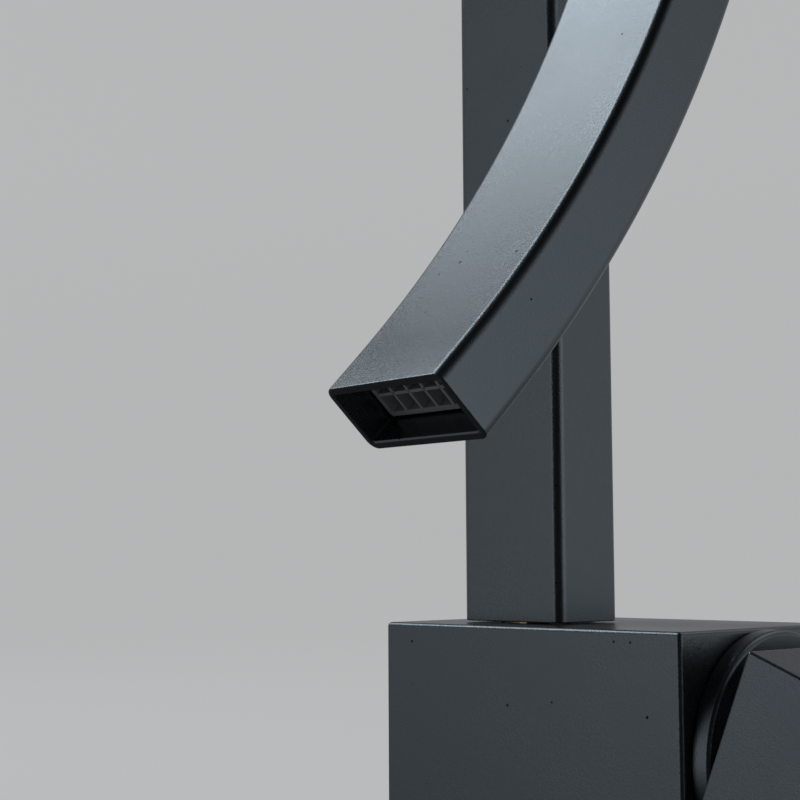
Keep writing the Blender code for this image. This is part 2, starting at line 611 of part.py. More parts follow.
def make_riser_head(finishes):
    """Brass head in the riser's top, with the journal that the bridge turns on."""
    centre = (RISER_X, RISER_Y)
    bore_width = RISER_WIDTH - 2 * RISER_WALL
    bore_depth = RISER_DEPTH - 2 * RISER_WALL
    plug = rounded_rectangle(bore_width - 2 * GAP, bore_depth - 2 * GAP, 0.8 * MM, 2)
    shoulder = RISER_TOP + GAP
    end = BRIDGE_TOP - 4.4 * MM
    lower = CHANNEL_Z - 6.5 * MM
    upper = CHANNEL_Z + 6.0 * MM
    groove = 0.9 * MM
    head = add_object("riser_head", prism_mesh(plug, RISER_TOP - 12 * MM, shoulder, centre),
                      finishes["brass"])
    join(head, turned_mesh(
        [(0, RISER_TOP - 5 * MM), (5.5 * MM, RISER_TOP - 5 * MM), (5.5 * MM, shoulder - MM / 10),
         (JOURNAL_RADIUS, shoulder - MM / 10), (JOURNAL_RADIUS, lower - groove),
         (5.1 * MM, lower - groove), (5.1 * MM, lower + groove), (JOURNAL_RADIUS, lower + groove),
         (JOURNAL_RADIUS, upper - groove), (5.1 * MM, upper - groove), (5.1 * MM, upper + groove),
         (JOURNAL_RADIUS, upper + groove), (JOURNAL_RADIUS, end), (0, end)],
        (*centre, 0), steps=24))
    cut(head,
        rod_mesh(WATER_BORE, RISER_TOP - 13 * MM, CHANNEL_Z + 2.9 * MM, centre, "Z", 20),
        rod_mesh(CHANNEL_RADIUS - 0.2 * MM, RISER_X - 10 * MM, RISER_X + 10 * MM,
                 (RISER_Y, CHANNEL_Z), "X", 16),
        rod_mesh(2.5 * MM + GAP, end - 5.8 * MM, end + MM, centre, "Z", 16))
    for name, level in (("swivel_seal_lower", lower), ("swivel_seal_upper", upper)):
        section = round_section(0.55 * MM, 6.05 * MM, level)
        add_object(name, turned_mesh(section, (*centre, 0), steps=SEAL_STEPS), finishes["rubber"])
    add_object("swivel_washer",
               turned_mesh(ring_profile(6.9 * MM, 7.9 * MM, RISER_TOP + GAP, BRIDGE_BASE - GAP),
                           (*centre, 0), steps=24),
               finishes["acetal"])
    ledge = BRIDGE_TOP - 4.1 * MM
    add_object("swivel_clamp_washer",
               turned_mesh(ring_profile(2.9 * MM, 7.9 * MM, ledge + GAP, ledge + 1.1 * MM),
                           (*centre, 0), steps=24),
               finishes["steel"])
    head_base = ledge + 1.4 * MM
    screw = add_object("swivel_screw",
                       turned_mesh([(0, end - 5.5 * MM), (2.5 * MM, end - 5.5 * MM), (2.5 * MM, head_base),
                                    (4.2 * MM, head_base), (4.2 * MM, head_base + 1.4 * MM),
                                    (0, head_base + 1.4 * MM)], (*centre, 0), steps=20),
                       finishes["steel"])
    cut(screw, prism_mesh(hexagon(3.0 * MM), head_base + 0.2 * MM, head_base + 3 * MM, centre))


# ---------------------------------------------------------------- bridge and spout

def make_bridge(finishes, swivel):
    right = SPOUT_OFFSET + SPOUT_WIDTH / 2 + BRIDGE_MARGIN
    bridge = add_object(
        "bridge_arm",
        box_mesh((BRIDGE_LEFT, -BRIDGE_DEPTH / 2, BRIDGE_BASE), (right, BRIDGE_DEPTH / 2, BRIDGE_TOP),
                 BODY_EDGE),
        finishes["coating"], swivel)
    ledge = BRIDGE_TOP - 4.1 * MM
    socket_top = BRIDGE_BASE + SPOUT_SOCKET
    socket = rounded_rectangle(SPOUT_WIDTH + 2 * GAP, SPOUT_THICKNESS + 2 * GAP,
                               SPOUT_ROUND + GAP, 3)
    chamber = rounded_rectangle(22 * MM, 8 * MM, 2 * MM, 2)
    plug_start = right - 4.0 * MM
    cut(bridge,
        rod_mesh(HUB_RADIUS, BRIDGE_BASE - MM, BRIDGE_TOP, steps=32),
        rod_mesh(8.3 * MM, ledge, BRIDGE_TOP + MM, steps=32),
        prism_mesh(socket, BRIDGE_BASE - MM, socket_top, (SPOUT_OFFSET, 0.0)),
        prism_mesh(chamber, socket_top - 2 * MM, CHANNEL_Z + 4.0 * MM, (SPOUT_OFFSET, 0.0)),
        rod_mesh(CHANNEL_RADIUS, 0.0, right + MM, (0.0, CHANNEL_Z), "X", 16),
        rod_mesh(4.2 * MM, plug_start, right + MM, (0.0, CHANNEL_Z), "X", 20))
    for index, x in enumerate((SPOUT_OFFSET - 9 * MM, SPOUT_OFFSET + 9 * MM)):
        level = BRIDGE_BASE + 3.6 * MM
        boolean(bridge, add_object(f"spout_screw_hole_{index}",
                                   rod_mesh(1.9 * MM, 0.0, BRIDGE_DEPTH, (x, level), "Y", 12),
                                   None, swivel))
        screw = add_object(f"spout_grub_screw_{'left' if index == 0 else 'right'}",
                           rod_mesh(1.55 * MM, SPOUT_THICKNESS / 2 + GAP, BRIDGE_DEPTH / 2 - 0.6 * MM,
                                    (x, level), "Y", 12),
                           finishes["steel"], swivel)
        cut(screw, rod_mesh(0.8 * MM, BRIDGE_DEPTH / 2 - 2 * MM, BRIDGE_DEPTH, (x, level), "Y", 6))
    add_object("channel_plug", rod_mesh(3.85 * MM, plug_start + GAP, right - 0.2 * MM,
                                        (0.0, CHANNEL_Z), "X", 20),
               finishes["coating"], swivel)
    add_object("swivel_cap", turned_mesh([(0, BRIDGE_TOP - 1.0 * MM), (8.0 * MM, BRIDGE_TOP - 1.0 * MM),
                                          (8.0 * MM, BRIDGE_TOP - 0.3 * MM), (7.7 * MM, BRIDGE_TOP),
                                          (0, BRIDGE_TOP)], steps=32),
               finishes["coating"], swivel)


def make_spout(finishes, swivel):
    """Rectangular tube: a short straight end in the bridge, one long arc and a straight mouth."""
    outer = rounded_rectangle(SPOUT_WIDTH, SPOUT_THICKNESS, SPOUT_ROUND, 3)
    inner = rounded_rectangle(SPOUT_WIDTH - 2 * SPOUT_WALL, SPOUT_THICKNESS - 2 * SPOUT_WALL,
                              0.5 * MM, 3)
    top = BRIDGE_BASE + SPOUT_SOCKET - 1.5 * MM
    stations = [Matrix.Translation((SPOUT_OFFSET, 0.0, top))]
    to_centre = Matrix.Translation((SPOUT_OFFSET, -SPOUT_BEND, RISER_TOP))
    from_centre = Matrix.Translation((0.0, SPOUT_BEND, 0.0))
    for step in range(SPOUT_STEPS + 1):
        turn = Matrix.Rotation(-SPOUT_ARC * step / SPOUT_STEPS, 4, "X")
        stations.append(to_centre @ turn @ from_centre)
    stations.append(stations[-1] @ Matrix.Translation((0.0, 0.0, -SPOUT_TAIL)))
    walls = [[station @ Vector((x, y, 0.0)) for x, y in outer] for station in stations]
    walls += [[station @ Vector((x, y, 0.0)) for x, y in inner] for station in reversed(stations)]
    add_object("spout_tube", skin_loops(walls), finishes["coating"], swivel)

    seal_base = BRIDGE_BASE + SPOUT_SOCKET - 1.2 * MM
    seal_outer = rounded_rectangle(SPOUT_WIDTH - 0.2 * MM, SPOUT_THICKNESS - 0.2 * MM, 1.4 * MM, 2)
    seal_inner = rounded_rectangle(SPOUT_WIDTH - 5 * MM, SPOUT_THICKNESS - 4 * MM, 0.6 * MM, 2)
    add_object("spout_seal", tube_mesh(seal_outer, seal_inner, seal_base, seal_base + 0.9 * MM,
                                       (SPOUT_OFFSET, 0.0)), finishes["rubber"], swivel)


def make_outlet(finishes, swivel):
    """Pieces inside the spout's mouth, stacked on an empty whose -Z points out of the mouth."""
    sine, cosine = math.sin(SPOUT_ARC), math.cos(SPOUT_ARC)
    mouth = add_empty("mouth",
                      (SPOUT_OFFSET, SPOUT_BEND * (cosine - 1) - SPOUT_TAIL * sine,
                       RISER_TOP - SPOUT_BEND * sine - SPOUT_TAIL * cosine),
                      (-SPOUT_ARC, 0.0, 0.0), swivel)
    width = SPOUT_WIDTH - 2 * SPOUT_WALL - 0.8 * MM
    thickness = SPOUT_THICKNESS - 2 * SPOUT_WALL - 0.8 * MM
    recess = 5.0 * MM
    length = 6.0 * MM
    columns = 6
    rows = 2
    rib = 0.9 * MM
    grid = add_object("flow_straightener",
                      prism_mesh(rounded_rectangle(width, thickness, 0.6 * MM, 1), recess,
                                 recess + length),
                      finishes["plastic"], mouth)
    cell_width = (width - rib * (columns + 1)) / columns
    cell_depth = (thickness - rib * (rows + 1)) / rows
    for column in range(columns):
        for row in range(rows):
            x = -width / 2 + rib + cell_width / 2 + column * (cell_width + rib)
            y = -thickness / 2 + rib + cell_depth / 2 + row * (cell_depth + rib)
            cell = prism_mesh(rounded_rectangle(cell_width, cell_depth, 0), recess - MM,
                              recess + length + MM, (x, y))
            boolean(grid, add_object(f"cell_{column}_{row}", cell, None, mouth))
    level = recess + length + GAP
    frame_outer = rounded_rectangle(width, thickness, 0.6 * MM, 1)
    frame_inner = rounded_rectangle(width - 3 * MM, thickness - 3 * MM, 0.4 * MM, 1)
    add_object("outlet_gasket", tube_mesh(frame_outer, frame_inner, level, level + 1.2 * MM),
               finishes["rubber"], mouth)


def make_faucet():
    finishes = make_finishes()
    make_body(finishes)
    make_deck_fixing(finishes)
    make_inlets(finishes)

    rotor_axis = add_empty("rotor_axis", (PIVOT_X, 0.0, CARTRIDGE_Z))
    lever_axis = add_empty("lever_axis", (0, 0, 0), (0.0, OPEN_ANGLE, 0.0), rotor_axis)
    slider = add_empty("disc_slider", (CARTRIDGE_BACK, 0.0, CARTRIDGE_Z))
    disc_start = make_cartridge_base(finishes)
    make_moving_disc(finishes, disc_start, slider)
    make_housing(finishes)
    make_trim_ring(finishes)
    make_rotor(finishes, rotor_axis)
    make_lever(finishes, lever_axis)
    make_handle(finishes, lever_axis)

    make_riser(finishes)
    make_riser_head(finishes)
    swivel = add_empty("spout_swivel", (RISER_X, RISER_Y, 0.0), (0.0, 0.0, SWIVEL_REST))
    make_bridge(finishes, swivel)
    make_spout(finishes, swivel)
    make_outlet(finishes, swivel)


for old in list(bpy.data.objects):
    bpy.data.objects.remove(old, do_unlink=True)
make_faucet()
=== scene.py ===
import json
import math

import bmesh
import bpy
from mathutils import Matrix, Vector


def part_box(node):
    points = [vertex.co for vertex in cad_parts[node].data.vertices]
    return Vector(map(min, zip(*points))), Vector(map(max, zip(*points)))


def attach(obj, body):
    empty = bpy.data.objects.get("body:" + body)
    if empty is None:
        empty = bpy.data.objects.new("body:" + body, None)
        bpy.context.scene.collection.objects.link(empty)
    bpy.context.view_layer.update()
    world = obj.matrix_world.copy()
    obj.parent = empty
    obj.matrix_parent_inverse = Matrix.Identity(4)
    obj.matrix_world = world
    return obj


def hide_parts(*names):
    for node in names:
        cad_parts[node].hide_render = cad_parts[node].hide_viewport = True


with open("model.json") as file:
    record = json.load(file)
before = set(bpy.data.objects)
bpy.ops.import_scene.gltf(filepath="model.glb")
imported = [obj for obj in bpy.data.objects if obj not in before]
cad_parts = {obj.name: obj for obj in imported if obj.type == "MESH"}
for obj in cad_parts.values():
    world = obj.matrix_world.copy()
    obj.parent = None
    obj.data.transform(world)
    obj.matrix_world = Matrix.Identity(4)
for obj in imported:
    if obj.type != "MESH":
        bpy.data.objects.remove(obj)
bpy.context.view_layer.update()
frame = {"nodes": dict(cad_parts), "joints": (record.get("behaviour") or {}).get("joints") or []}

mm = 0.001
jointPoints = {joint["name"]: Vector(joint["pos_m"]) for joint in frame["joints"] if "pos_m" in joint}
restAngles = {"spout": -8.0, "lever": 22.0}        # degrees, how the two moving parts stand at rest


def turned(degrees, axis):
    return Matrix.Rotation(math.radians(degrees), 4, axis)


swivelPoint = jointPoints["spout_swivel"]
leverPoint = jointPoints["flow_lift"]
swivelFrame = Matrix.Translation((swivelPoint.x, swivelPoint.y, 0.0)) @ turned(restAngles["spout"], "Z")
leverFrame = Matrix.Translation(leverPoint) @ turned(restAngles["lever"], "Y")


# Small kit for the meshes

def rodTo(axis):
    # turns a shape that stands along Z to lie along another axis
    return {"X": turned(90, "Y"), "Y": turned(-90, "X"), "Z": Matrix.Identity(4)}[axis]


def roundedOutline(width, depth, radius, steps):
    points = []
    for sideX, sideY, start in ((1, -1, -90), (1, 1, 0), (-1, 1, 90), (-1, -1, 180)):
        for step in range(steps + 1):
            angle = math.radians(start + 90 * step / steps)
            points.append((sideX * (width / 2 - radius) + radius * math.cos(angle),
                           sideY * (depth / 2 - radius) + radius * math.sin(angle)))
    return points


def hexOutline(acrossFlats):
    reach = acrossFlats / math.sqrt(3)
    return [(reach * math.cos(math.radians(60 * i)), reach * math.sin(math.radians(60 * i)))
            for i in range(6)]


def skinLoops(loops, closed=True):
    # one surface through a row of loops with equal counts; closed joins the last to the first
    bm = bmesh.new()
    rings = [[bm.verts.new(point) for point in loop] for loop in loops]
    count = len(loops[0])
    for index, near in enumerate(rings):
        if index == len(rings) - 1 and not closed:
            break
        far = rings[(index + 1) % len(rings)]
        for i in range(count):
            j = (i + 1) % count
            bm.faces.new((near[i], near[j], far[j], far[i]))
    if not closed:
        bm.faces.new(list(reversed(rings[0])))
        bm.faces.new(rings[-1])
    bmesh.ops.recalc_face_normals(bm, faces=bm.faces)
    return bm


def prism(outline, low, high, centre=(0.0, 0.0)):
    return skinLoops([[(centre[0] + x, centre[1] + y, level) for x, y in outline]
                      for level in (low, high)], closed=False)


def lathe(profile, steps, axis="Z", centre=(0.0, 0.0, 0.0)):
    # profile is a closed outline of (radius, height) pairs
    bm = bmesh.new()
    points = [bm.verts.new((radius, 0.0, height)) for radius, height in profile]
    edges = [bm.edges.new((points[i], points[(i + 1) % len(points)])) for i in range(len(points))]
    edges = [e for e in edges if any(v.co.x > 1e-9 for v in e.verts)]
    bmesh.ops.spin(bm, geom=points + edges, cent=(0, 0, 0), axis=(0, 0, 1),
                   angle=2 * math.pi, steps=steps, use_merge=True)
    bmesh.ops.remove_doubles(bm, verts=bm.verts, dist=1e-7)
    bmesh.ops.delete(bm, geom=[e for e in bm.edges if not e.link_faces], context="EDGES")
    bmesh.ops.recalc_face_normals(bm, faces=bm.faces)
    bmesh.ops.transform(bm, matrix=Matrix.Translation(centre) @ rodTo(axis), verts=bm.verts)
    return bm


def rod(radius, start, end, axis="Z", centre=(0.0, 0.0), steps=48):
    place = {"X": (start, centre[0], centre[1]), "Y": (centre[0], start, centre[1]),
             "Z": (centre[0], centre[1], start)}[axis]
    length = end - start
    return lathe([(0, 0), (radius, 0), (radius, length), (0, length)], steps, axis, place)


def filletBox(low, high, radius=0.0, steps=6):
    bm = bmesh.new()
    bmesh.ops.create_cube(bm, size=1.0)
    low, high = Vector(low), Vector(high)
    bmesh.ops.scale(bm, vec=high - low, verts=bm.verts)
    bmesh.ops.translate(bm, vec=(high + low) / 2, verts=bm.verts)
    if radius:
        bmesh.ops.bevel(bm, geom=bm.edges[:], offset=radius, segments=steps, profile=0.5,
                        affect="EDGES")
    return bm


def looseObject(name, bm, material=None):
    mesh = bpy.data.meshes.new(name)
    bm.to_mesh(mesh)
    bm.free()
    if material:
        mesh.materials.append(material)
    piece = bpy.data.objects.new(name, mesh)
    bpy.context.scene.collection.objects.link(piece)
    return piece


def bake(piece):
    # turns the piece and its modifiers into one plain mesh
    bpy.context.view_layer.update()
    graph = bpy.context.evaluated_depsgraph_get()
    mesh = bpy.data.meshes.new_from_object(piece.evaluated_get(graph), preserve_all_data_layers=True,
                                           depsgraph=graph)
    old = piece.data
    piece.modifiers.clear()
    piece.data = mesh
    bpy.data.meshes.remove(old)


def makePiece(name, bm, material, body, nodes, place=None, cutters=(), added=(), edge=0.0,
              nodeTree=None, treeInputs=None):
    # builds, cuts, softens the cut edges, bakes and places one finished piece
    piece = looseObject(name, bm, material)
    helpers = []
    for operation, meshes in (("UNION", added), ("DIFFERENCE", cutters)):
        for shape in meshes:
            helper = looseObject(name + "Helper", shape, material)
            modifier = piece.modifiers.new("shape", "BOOLEAN")
            modifier.operation = operation
            modifier.solver = "EXACT"
            modifier.object = helper
            helpers.append(helper)
    if helpers:
        bake(piece)
        for helper in helpers:
            bpy.data.objects.remove(helper, do_unlink=True)
    for face in piece.data.polygons:
        face.use_smooth = True
    if edge:
        softened = piece.modifiers.new("edges", "BEVEL")
        softened.width = edge
        softened.segments = 2
        softened.limit_method = "ANGLE"
        softened.angle_limit = math.radians(38)
        softened.use_clamp_overlap = True
    if nodeTree:
        addTree(piece, nodeTree, treeInputs)
    bake(piece)
    piece.data.set_sharp_from_angle(angle=math.radians(42))
    weighted = piece.modifiers.new("shading", "WEIGHTED_NORMAL")
    weighted.keep_sharp = True
    bake(piece)
    if place is not None:
        piece.data.transform(place)
    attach(piece, body)
    if nodes:
        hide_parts(*nodes)
    return piece


def addTree(piece, tree, values):
    modifier = piece.modifiers.new(tree.name, "NODES")
    modifier.node_group = tree
    names = {item.name: item.identifier for item in tree.interface.items_tree
             if item.item_type == "SOCKET" and item.in_out == "INPUT"}
    for name, value in values.items():
        modifier[names[name]] = value
    return modifier


# Nodes, for geometry and shader trees alike

def addNode(tree, kind, values=None, **settings):
    node = tree.nodes.new(kind)
    for key, value in settings.items():
        setattr(node, key, value)
    for key, value in (values or {}).items():
        if isinstance(value, bpy.types.NodeSocket):
            tree.links.new(value, node.inputs[key])
        else:
            node.inputs[key].default_value = value
    return node


def mathNode(tree, operation, first, second=0.0, clamp=False):
    return addNode(tree, "ShaderNodeMath", {0: first, 1: second}, operation=operation,
                   use_clamp=clamp).outputs[0]


# Node trees for what repeats: cut threads and the lattice in the mouth

ridgeShare = 0.44        # half a ridge, as a share of the pitch


def newTree(name, inputs):
    tree = bpy.data.node_groups.new(name, "GeometryNodeTree")
    tree.interface.new_socket("Geometry", in_out="INPUT", socket_type="NodeSocketGeometry")
    for label, kind in inputs:
        tree.interface.new_socket(label, in_out="INPUT", socket_type="NodeSocket" + kind)
    tree.interface.new_socket("Geometry", in_out="OUTPUT", socket_type="NodeSocketGeometry")
    return tree, tree.nodes.new("NodeGroupInput").outputs, tree.nodes.new("NodeGroupOutput")


def endTree(tree, made, material, result):
    real = addNode(tree, "GeometryNodeRealizeInstances", {0: made})
    dressed = addNode(tree, "GeometryNodeSetMaterial", {"Geometry": real.outputs[0],
                                                        "Material": material})
    tree.links.new(dressed.outputs[0], result.inputs[0])
    return tree


def buildThread():
    # a ridge wound round the shank: Root is the shank's radius, Rise how far the ridge stands out
    tree, given, result = newTree("cutThread", [("Root", "Float"), ("Rise", "Float"), ("Pitch", "Float"),
                                                ("Turns", "Float"), ("Foot", "Vector"),
                                                ("Finish", "Material")])
    length = mathNode(tree, "MULTIPLY", given["Pitch"], given["Turns"])
    helix = addNode(tree, "GeometryNodeCurveSpiral",
                    {"Resolution": 36, "Rotations": given["Turns"], "Start Radius": given["Root"],
                     "End Radius": given["Root"], "Height": length})
    upright = addNode(tree, "GeometryNodeSetCurveNormal", {0: helix.outputs[0]}, mode="Z_UP")
    half = mathNode(tree, "MULTIPLY", given["Pitch"], ridgeShare)
    ridge = addNode(tree, "GeometryNodeCurvePrimitiveQuadrilateral",
                    {"Width": mathNode(tree, "MULTIPLY", given["Rise"], 2.0), "Bottom Height": half,
                     "Top Height": half}, mode="KITE")
    wound = addNode(tree, "GeometryNodeCurveToMesh", {"Curve": upright.outputs[0],
                                                      "Profile Curve": ridge.outputs[0],
                                                      "Fill Caps": True})
    moved = addNode(tree, "GeometryNodeTransform", {"Geometry": wound.outputs[0],
                                                    "Translation": given["Foot"]})
    joined = addNode(tree, "GeometryNodeJoinGeometry", {0: given["Geometry"]})
    tree.links.new(moved.outputs[0], joined.inputs[0])
    return endTree(tree, joined.outputs[0], given["Finish"], result)


def buildLattice():
    # two sets of thin ribs across a frame: Columns along X, Rows along Y
    tree, given, result = newTree("ribLattice", [("Columns", "Int"), ("Rows", "Int"),
                                                 ("Cell", "Vector"), ("Rib", "Float"),
                                                 ("Centre", "Vector"), ("Finish", "Material")])
    cell = addNode(tree, "ShaderNodeSeparateXYZ", {0: given["Cell"]}).outputs
    joined = addNode(tree, "GeometryNodeJoinGeometry", {0: given["Geometry"]})
    for along, across, count, other in ((0, 1, "Columns", "Rows"), (1, 0, "Rows", "Columns")):
        ribs = mathNode(tree, "SUBTRACT", given[count], 1.0)
        first = mathNode(tree, "MULTIPLY", mathNode(tree, "MULTIPLY", given[count], -0.5),
                         cell[along])
        start, step, size = (addNode(tree, "ShaderNodeCombineXYZ") for _ in range(3))
        tree.links.new(mathNode(tree, "ADD", first, cell[along]), start.inputs[along])
        tree.links.new(cell[along], step.inputs[along])
        line = addNode(tree, "GeometryNodeMeshLine", {"Count": ribs, "Start Location": start.outputs[0],
                                                      "Offset": step.outputs[0]})
        tree.links.new(given["Rib"], size.inputs[along])
        tree.links.new(mathNode(tree, "MULTIPLY", given[other], cell[across]), size.inputs[across])
        tree.links.new(cell[2], size.inputs[2])
        bar = addNode(tree, "GeometryNodeMeshCube", {"Size": size.outputs[0]})
        placed = addNode(tree, "GeometryNodeInstanceOnPoints", {"Points": line.outputs[0],
                                                                "Instance": bar.outputs[0]})
        moved = addNode(tree, "GeometryNodeTransform", {"Geometry": placed.outputs[0],
                                                        "Translation": given["Centre"]})
        tree.links.new(moved.outputs[0], joined.inputs[0])
    return endTree(tree, joined.outputs[0], given["Finish"], result)


cutThread = buildThread()
ribLattice = buildLattice()


# Shader groups that several finishes share

def newGroup(name, inputs, outputs):
    group = bpy.data.node_groups.new(name, "ShaderNodeTree")
    for label, kind, default in inputs:
        socket = group.interface.new_socket(label, in_out="INPUT", socket_type="NodeSocket" + kind)
        socket.default_value = default
    for label, kind in outputs:
        group.interface.new_socket(label, in_out="OUTPUT", socket_type="NodeSocket" + kind)
    return group, group.nodes.new("NodeGroupInput"), group.nodes.new("NodeGroupOutput")


grainLook = {"wideScale": 240.0, "broadScale": 42.0, "wideHeight": 0.5, "speckleSheen": 0.8}


def buildGrain():
    # fine orange-peel of a sprayed coat, and the uneven sheen that goes with it
    look = grainLook
    group, given, result = newGroup(
        "sprayedGrain",
        [("Size", "Float", 0.0002), ("Depth", "Float", 1.0), ("Sheen", "Float", 0.3),
         ("Spread", "Float", 0.08)],
        [("Height", "Float"), ("Roughness", "Float"), ("Cloud", "Float")])
    point = addNode(group, "ShaderNodeTexCoord").outputs["Object"]
    perMetre = mathNode(group, "DIVIDE", 1.0, given.outputs["Size"])
    fine = addNode(group, "ShaderNodeTexNoise", {"Vector": point, "Scale": perMetre, "Detail": 2.0,
                                                 "Roughness": 0.6})
    wide = addNode(group, "ShaderNodeTexNoise", {"Vector": point, "Scale": look["wideScale"],
                                                 "Detail": 2.0})
    broad = addNode(group, "ShaderNodeTexNoise", {"Vector": point, "Scale": look["broadScale"],
                                                  "Detail": 3.0})
    mixed = mathNode(group, "ADD", fine.outputs[0],
                     mathNode(group, "MULTIPLY", wide.outputs[0], look["wideHeight"]))
    height = mathNode(group, "MULTIPLY", mixed, given.outputs["Depth"])
    offset = mathNode(group, "SUBTRACT", broad.outputs[0], 0.5)
    speckle = mathNode(group, "SUBTRACT", fine.outputs[0], 0.5)
    both = mathNode(group, "ADD", offset, mathNode(group, "MULTIPLY", speckle, look["speckleSheen"]))
    sheen = mathNode(group, "ADD", given.outputs["Sheen"],
                     mathNode(group, "MULTIPLY", both, given.outputs["Spread"]))
    group.links.new(height, result.inputs["Height"])
    group.links.new(sheen, result.inputs["Roughness"])
    group.links.new(broad.outputs[0], result.inputs["Cloud"])
    return group


def buildSpecks():
    # a few separate dots, such as dust nibs under the coat
    group, given, result = newGroup(
        "dustNibs",
        [("Spacing", "Float", 0.006), ("Dot", "Float", 0.04), ("Share", "Float", 0.2)],
        [("Mask", "Float")])
    point = addNode(group, "ShaderNodeTexCoord").outputs["Object"]
    perMetre = mathNode(group, "DIVIDE", 1.0, given.outputs["Spacing"])
    cells = addNode(group, "ShaderNodeTexVoronoi", {"Vector": point, "Scale": perMetre},
                    feature="F1")
    inside = mathNode(group, "LESS_THAN", cells.outputs["Distance"], given.outputs["Dot"])
    tint = addNode(group, "ShaderNodeSeparateColor", {0: cells.outputs["Color"]})
    chosen = mathNode(group, "LESS_THAN", tint.outputs[0], given.outputs["Share"])
    group.links.new(mathNode(group, "MULTIPLY", inside, chosen), result.inputs["Mask"])
    return group


def buildEdgeHighlight():
    # mask of the convex edges, broken into patches, where the finishes paint a lighter colour as a
    # highlight along the edges
    group, given, result = newGroup(
        "paintedEdgeHighlight",
        [("Start", "Float", 0.52), ("End", "Float", 0.6), ("Amount", "Float", 1.0)],
        [("Mask", "Float")])
    point = addNode(group, "ShaderNodeTexCoord").outputs["Object"]
    pointed = addNode(group, "ShaderNodeNewGeometry").outputs["Pointiness"]
    ramp = addNode(group, "ShaderNodeMapRange",
                   {"Value": pointed, "From Min": given.outputs["Start"],
                    "From Max": given.outputs["End"]})
    broken = addNode(group, "ShaderNodeTexNoise", {"Vector": point, "Scale": 900.0, "Detail": 3.0})
    patchy = addNode(group, "ShaderNodeMapRange",
                     {"Value": broken.outputs[0], "From Min": 0.35, "From Max": 0.6})
    mask = mathNode(group, "MULTIPLY", ramp.outputs[0], patchy.outputs[0])
    group.links.new(mathNode(group, "MULTIPLY", mask, given.outputs["Amount"]), result.inputs["Mask"])
    return group


def buildToolMarks():
    # fine rings left by a lathe, across the named axis
    group, given, result = newGroup(
        "latheMarks",
        [("Axis", "Vector", (0.0, 0.0, 1.0)), ("Pitch", "Float", 0.00012), ("Depth", "Float", 1.0),
         ("Sheen", "Float", 0.3), ("Spread", "Float", 0.15)],
        [("Height", "Float"), ("Roughness", "Float"), ("Tone", "Float")])
    point = addNode(group, "ShaderNodeTexCoord").outputs["Object"]
    level = addNode(group, "ShaderNodeVectorMath", {0: point, 1: given.outputs["Axis"]},
                    operation="DOT_PRODUCT").outputs["Value"]
    perMetre = mathNode(group, "DIVIDE", 1.0, given.outputs["Pitch"])
    lines = addNode(group, "ShaderNodeTexNoise", {"W": level, "Scale": perMetre, "Detail": 2.0},
                    noise_dimensions="1D")
    cloud = addNode(group, "ShaderNodeTexNoise", {"Vector": point, "Scale": 180.0, "Detail": 4.0})
    height = mathNode(group, "MULTIPLY", lines.outputs[0], given.outputs["Depth"])
    both = mathNode(group, "ADD", mathNode(group, "SUBTRACT", lines.outputs[0], 0.5),
                    mathNode(group, "SUBTRACT", cloud.outputs[0], 0.5))
    sheen = mathNode(group, "ADD", given.outputs["Sheen"],
                     mathNode(group, "MULTIPLY", both, given.outputs["Spread"]))
    group.links.new(height, result.inputs["Height"])
    group.links.new(sheen, result.inputs["Roughness"])
    group.links.new(cloud.outputs[0], result.inputs["Tone"])
    return group


sprayedGrain = buildGrain()
dustNibs = buildSpecks()
paintedEdgeHighlight = buildEdgeHighlight()
latheMarks = buildToolMarks()


def startMaterial(name, metallic, **plain):
    material = bpy.data.materials.new(name)
    material.use_nodes = True
    tree = material.node_tree
    shader = tree.nodes["Principled BSDF"]
    shader.inputs["Metallic"].default_value = metallic
    for key, value in plain.items():
        shader.inputs[key].default_value = value
    return material, tree, shader


def useGroup(tree, group, values):
    node = tree.nodes.new("ShaderNodeGroup")
    node.node_tree = group
    for key, value in values.items():
        node.inputs[key].default_value = value
    return node


def blendColours(tree, amount, first, second):
    node = tree.nodes.new("ShaderNodeMix")
    node.data_type = "RGBA"
    for index, value in ((0, amount), (6, first), (7, second)):
        if isinstance(value, bpy.types.NodeSocket):
            tree.links.new(value, node.inputs[index])
        else:
            node.inputs[index].default_value = (*value, 1.0) if index else value
    return node.outputs[2]


def addBump(tree, shader, height, distance, strength=1.0):
    bump = addNode(tree, "ShaderNodeBump", {"Height": height, "Distance": distance,
                                            "Strength": strength})
    tree.links.new(bump.outputs[0], shader.inputs["Normal"])


coatingLook = {"base": (0.100, 0.116, 0.128), "cloud": (0.088, 0.103, 0.114),
               "nib": (0.02, 0.022, 0.024), "paintedEdgeLight": (0.15, 0.165, 0.175),
               "metallic": 0.94, "sheen": 0.30, "spread": 0.16, "grain": 0.00028,
               "bump": 0.00003, "nibSpacing": 0.0034, "nibDot": 0.078, "nibShare": 0.2,
               "nibRough": 0.3, "nibHeight": 6.0, "edge": {"Start": 0.53, "End": 0.62, "Amount": 0.35}}


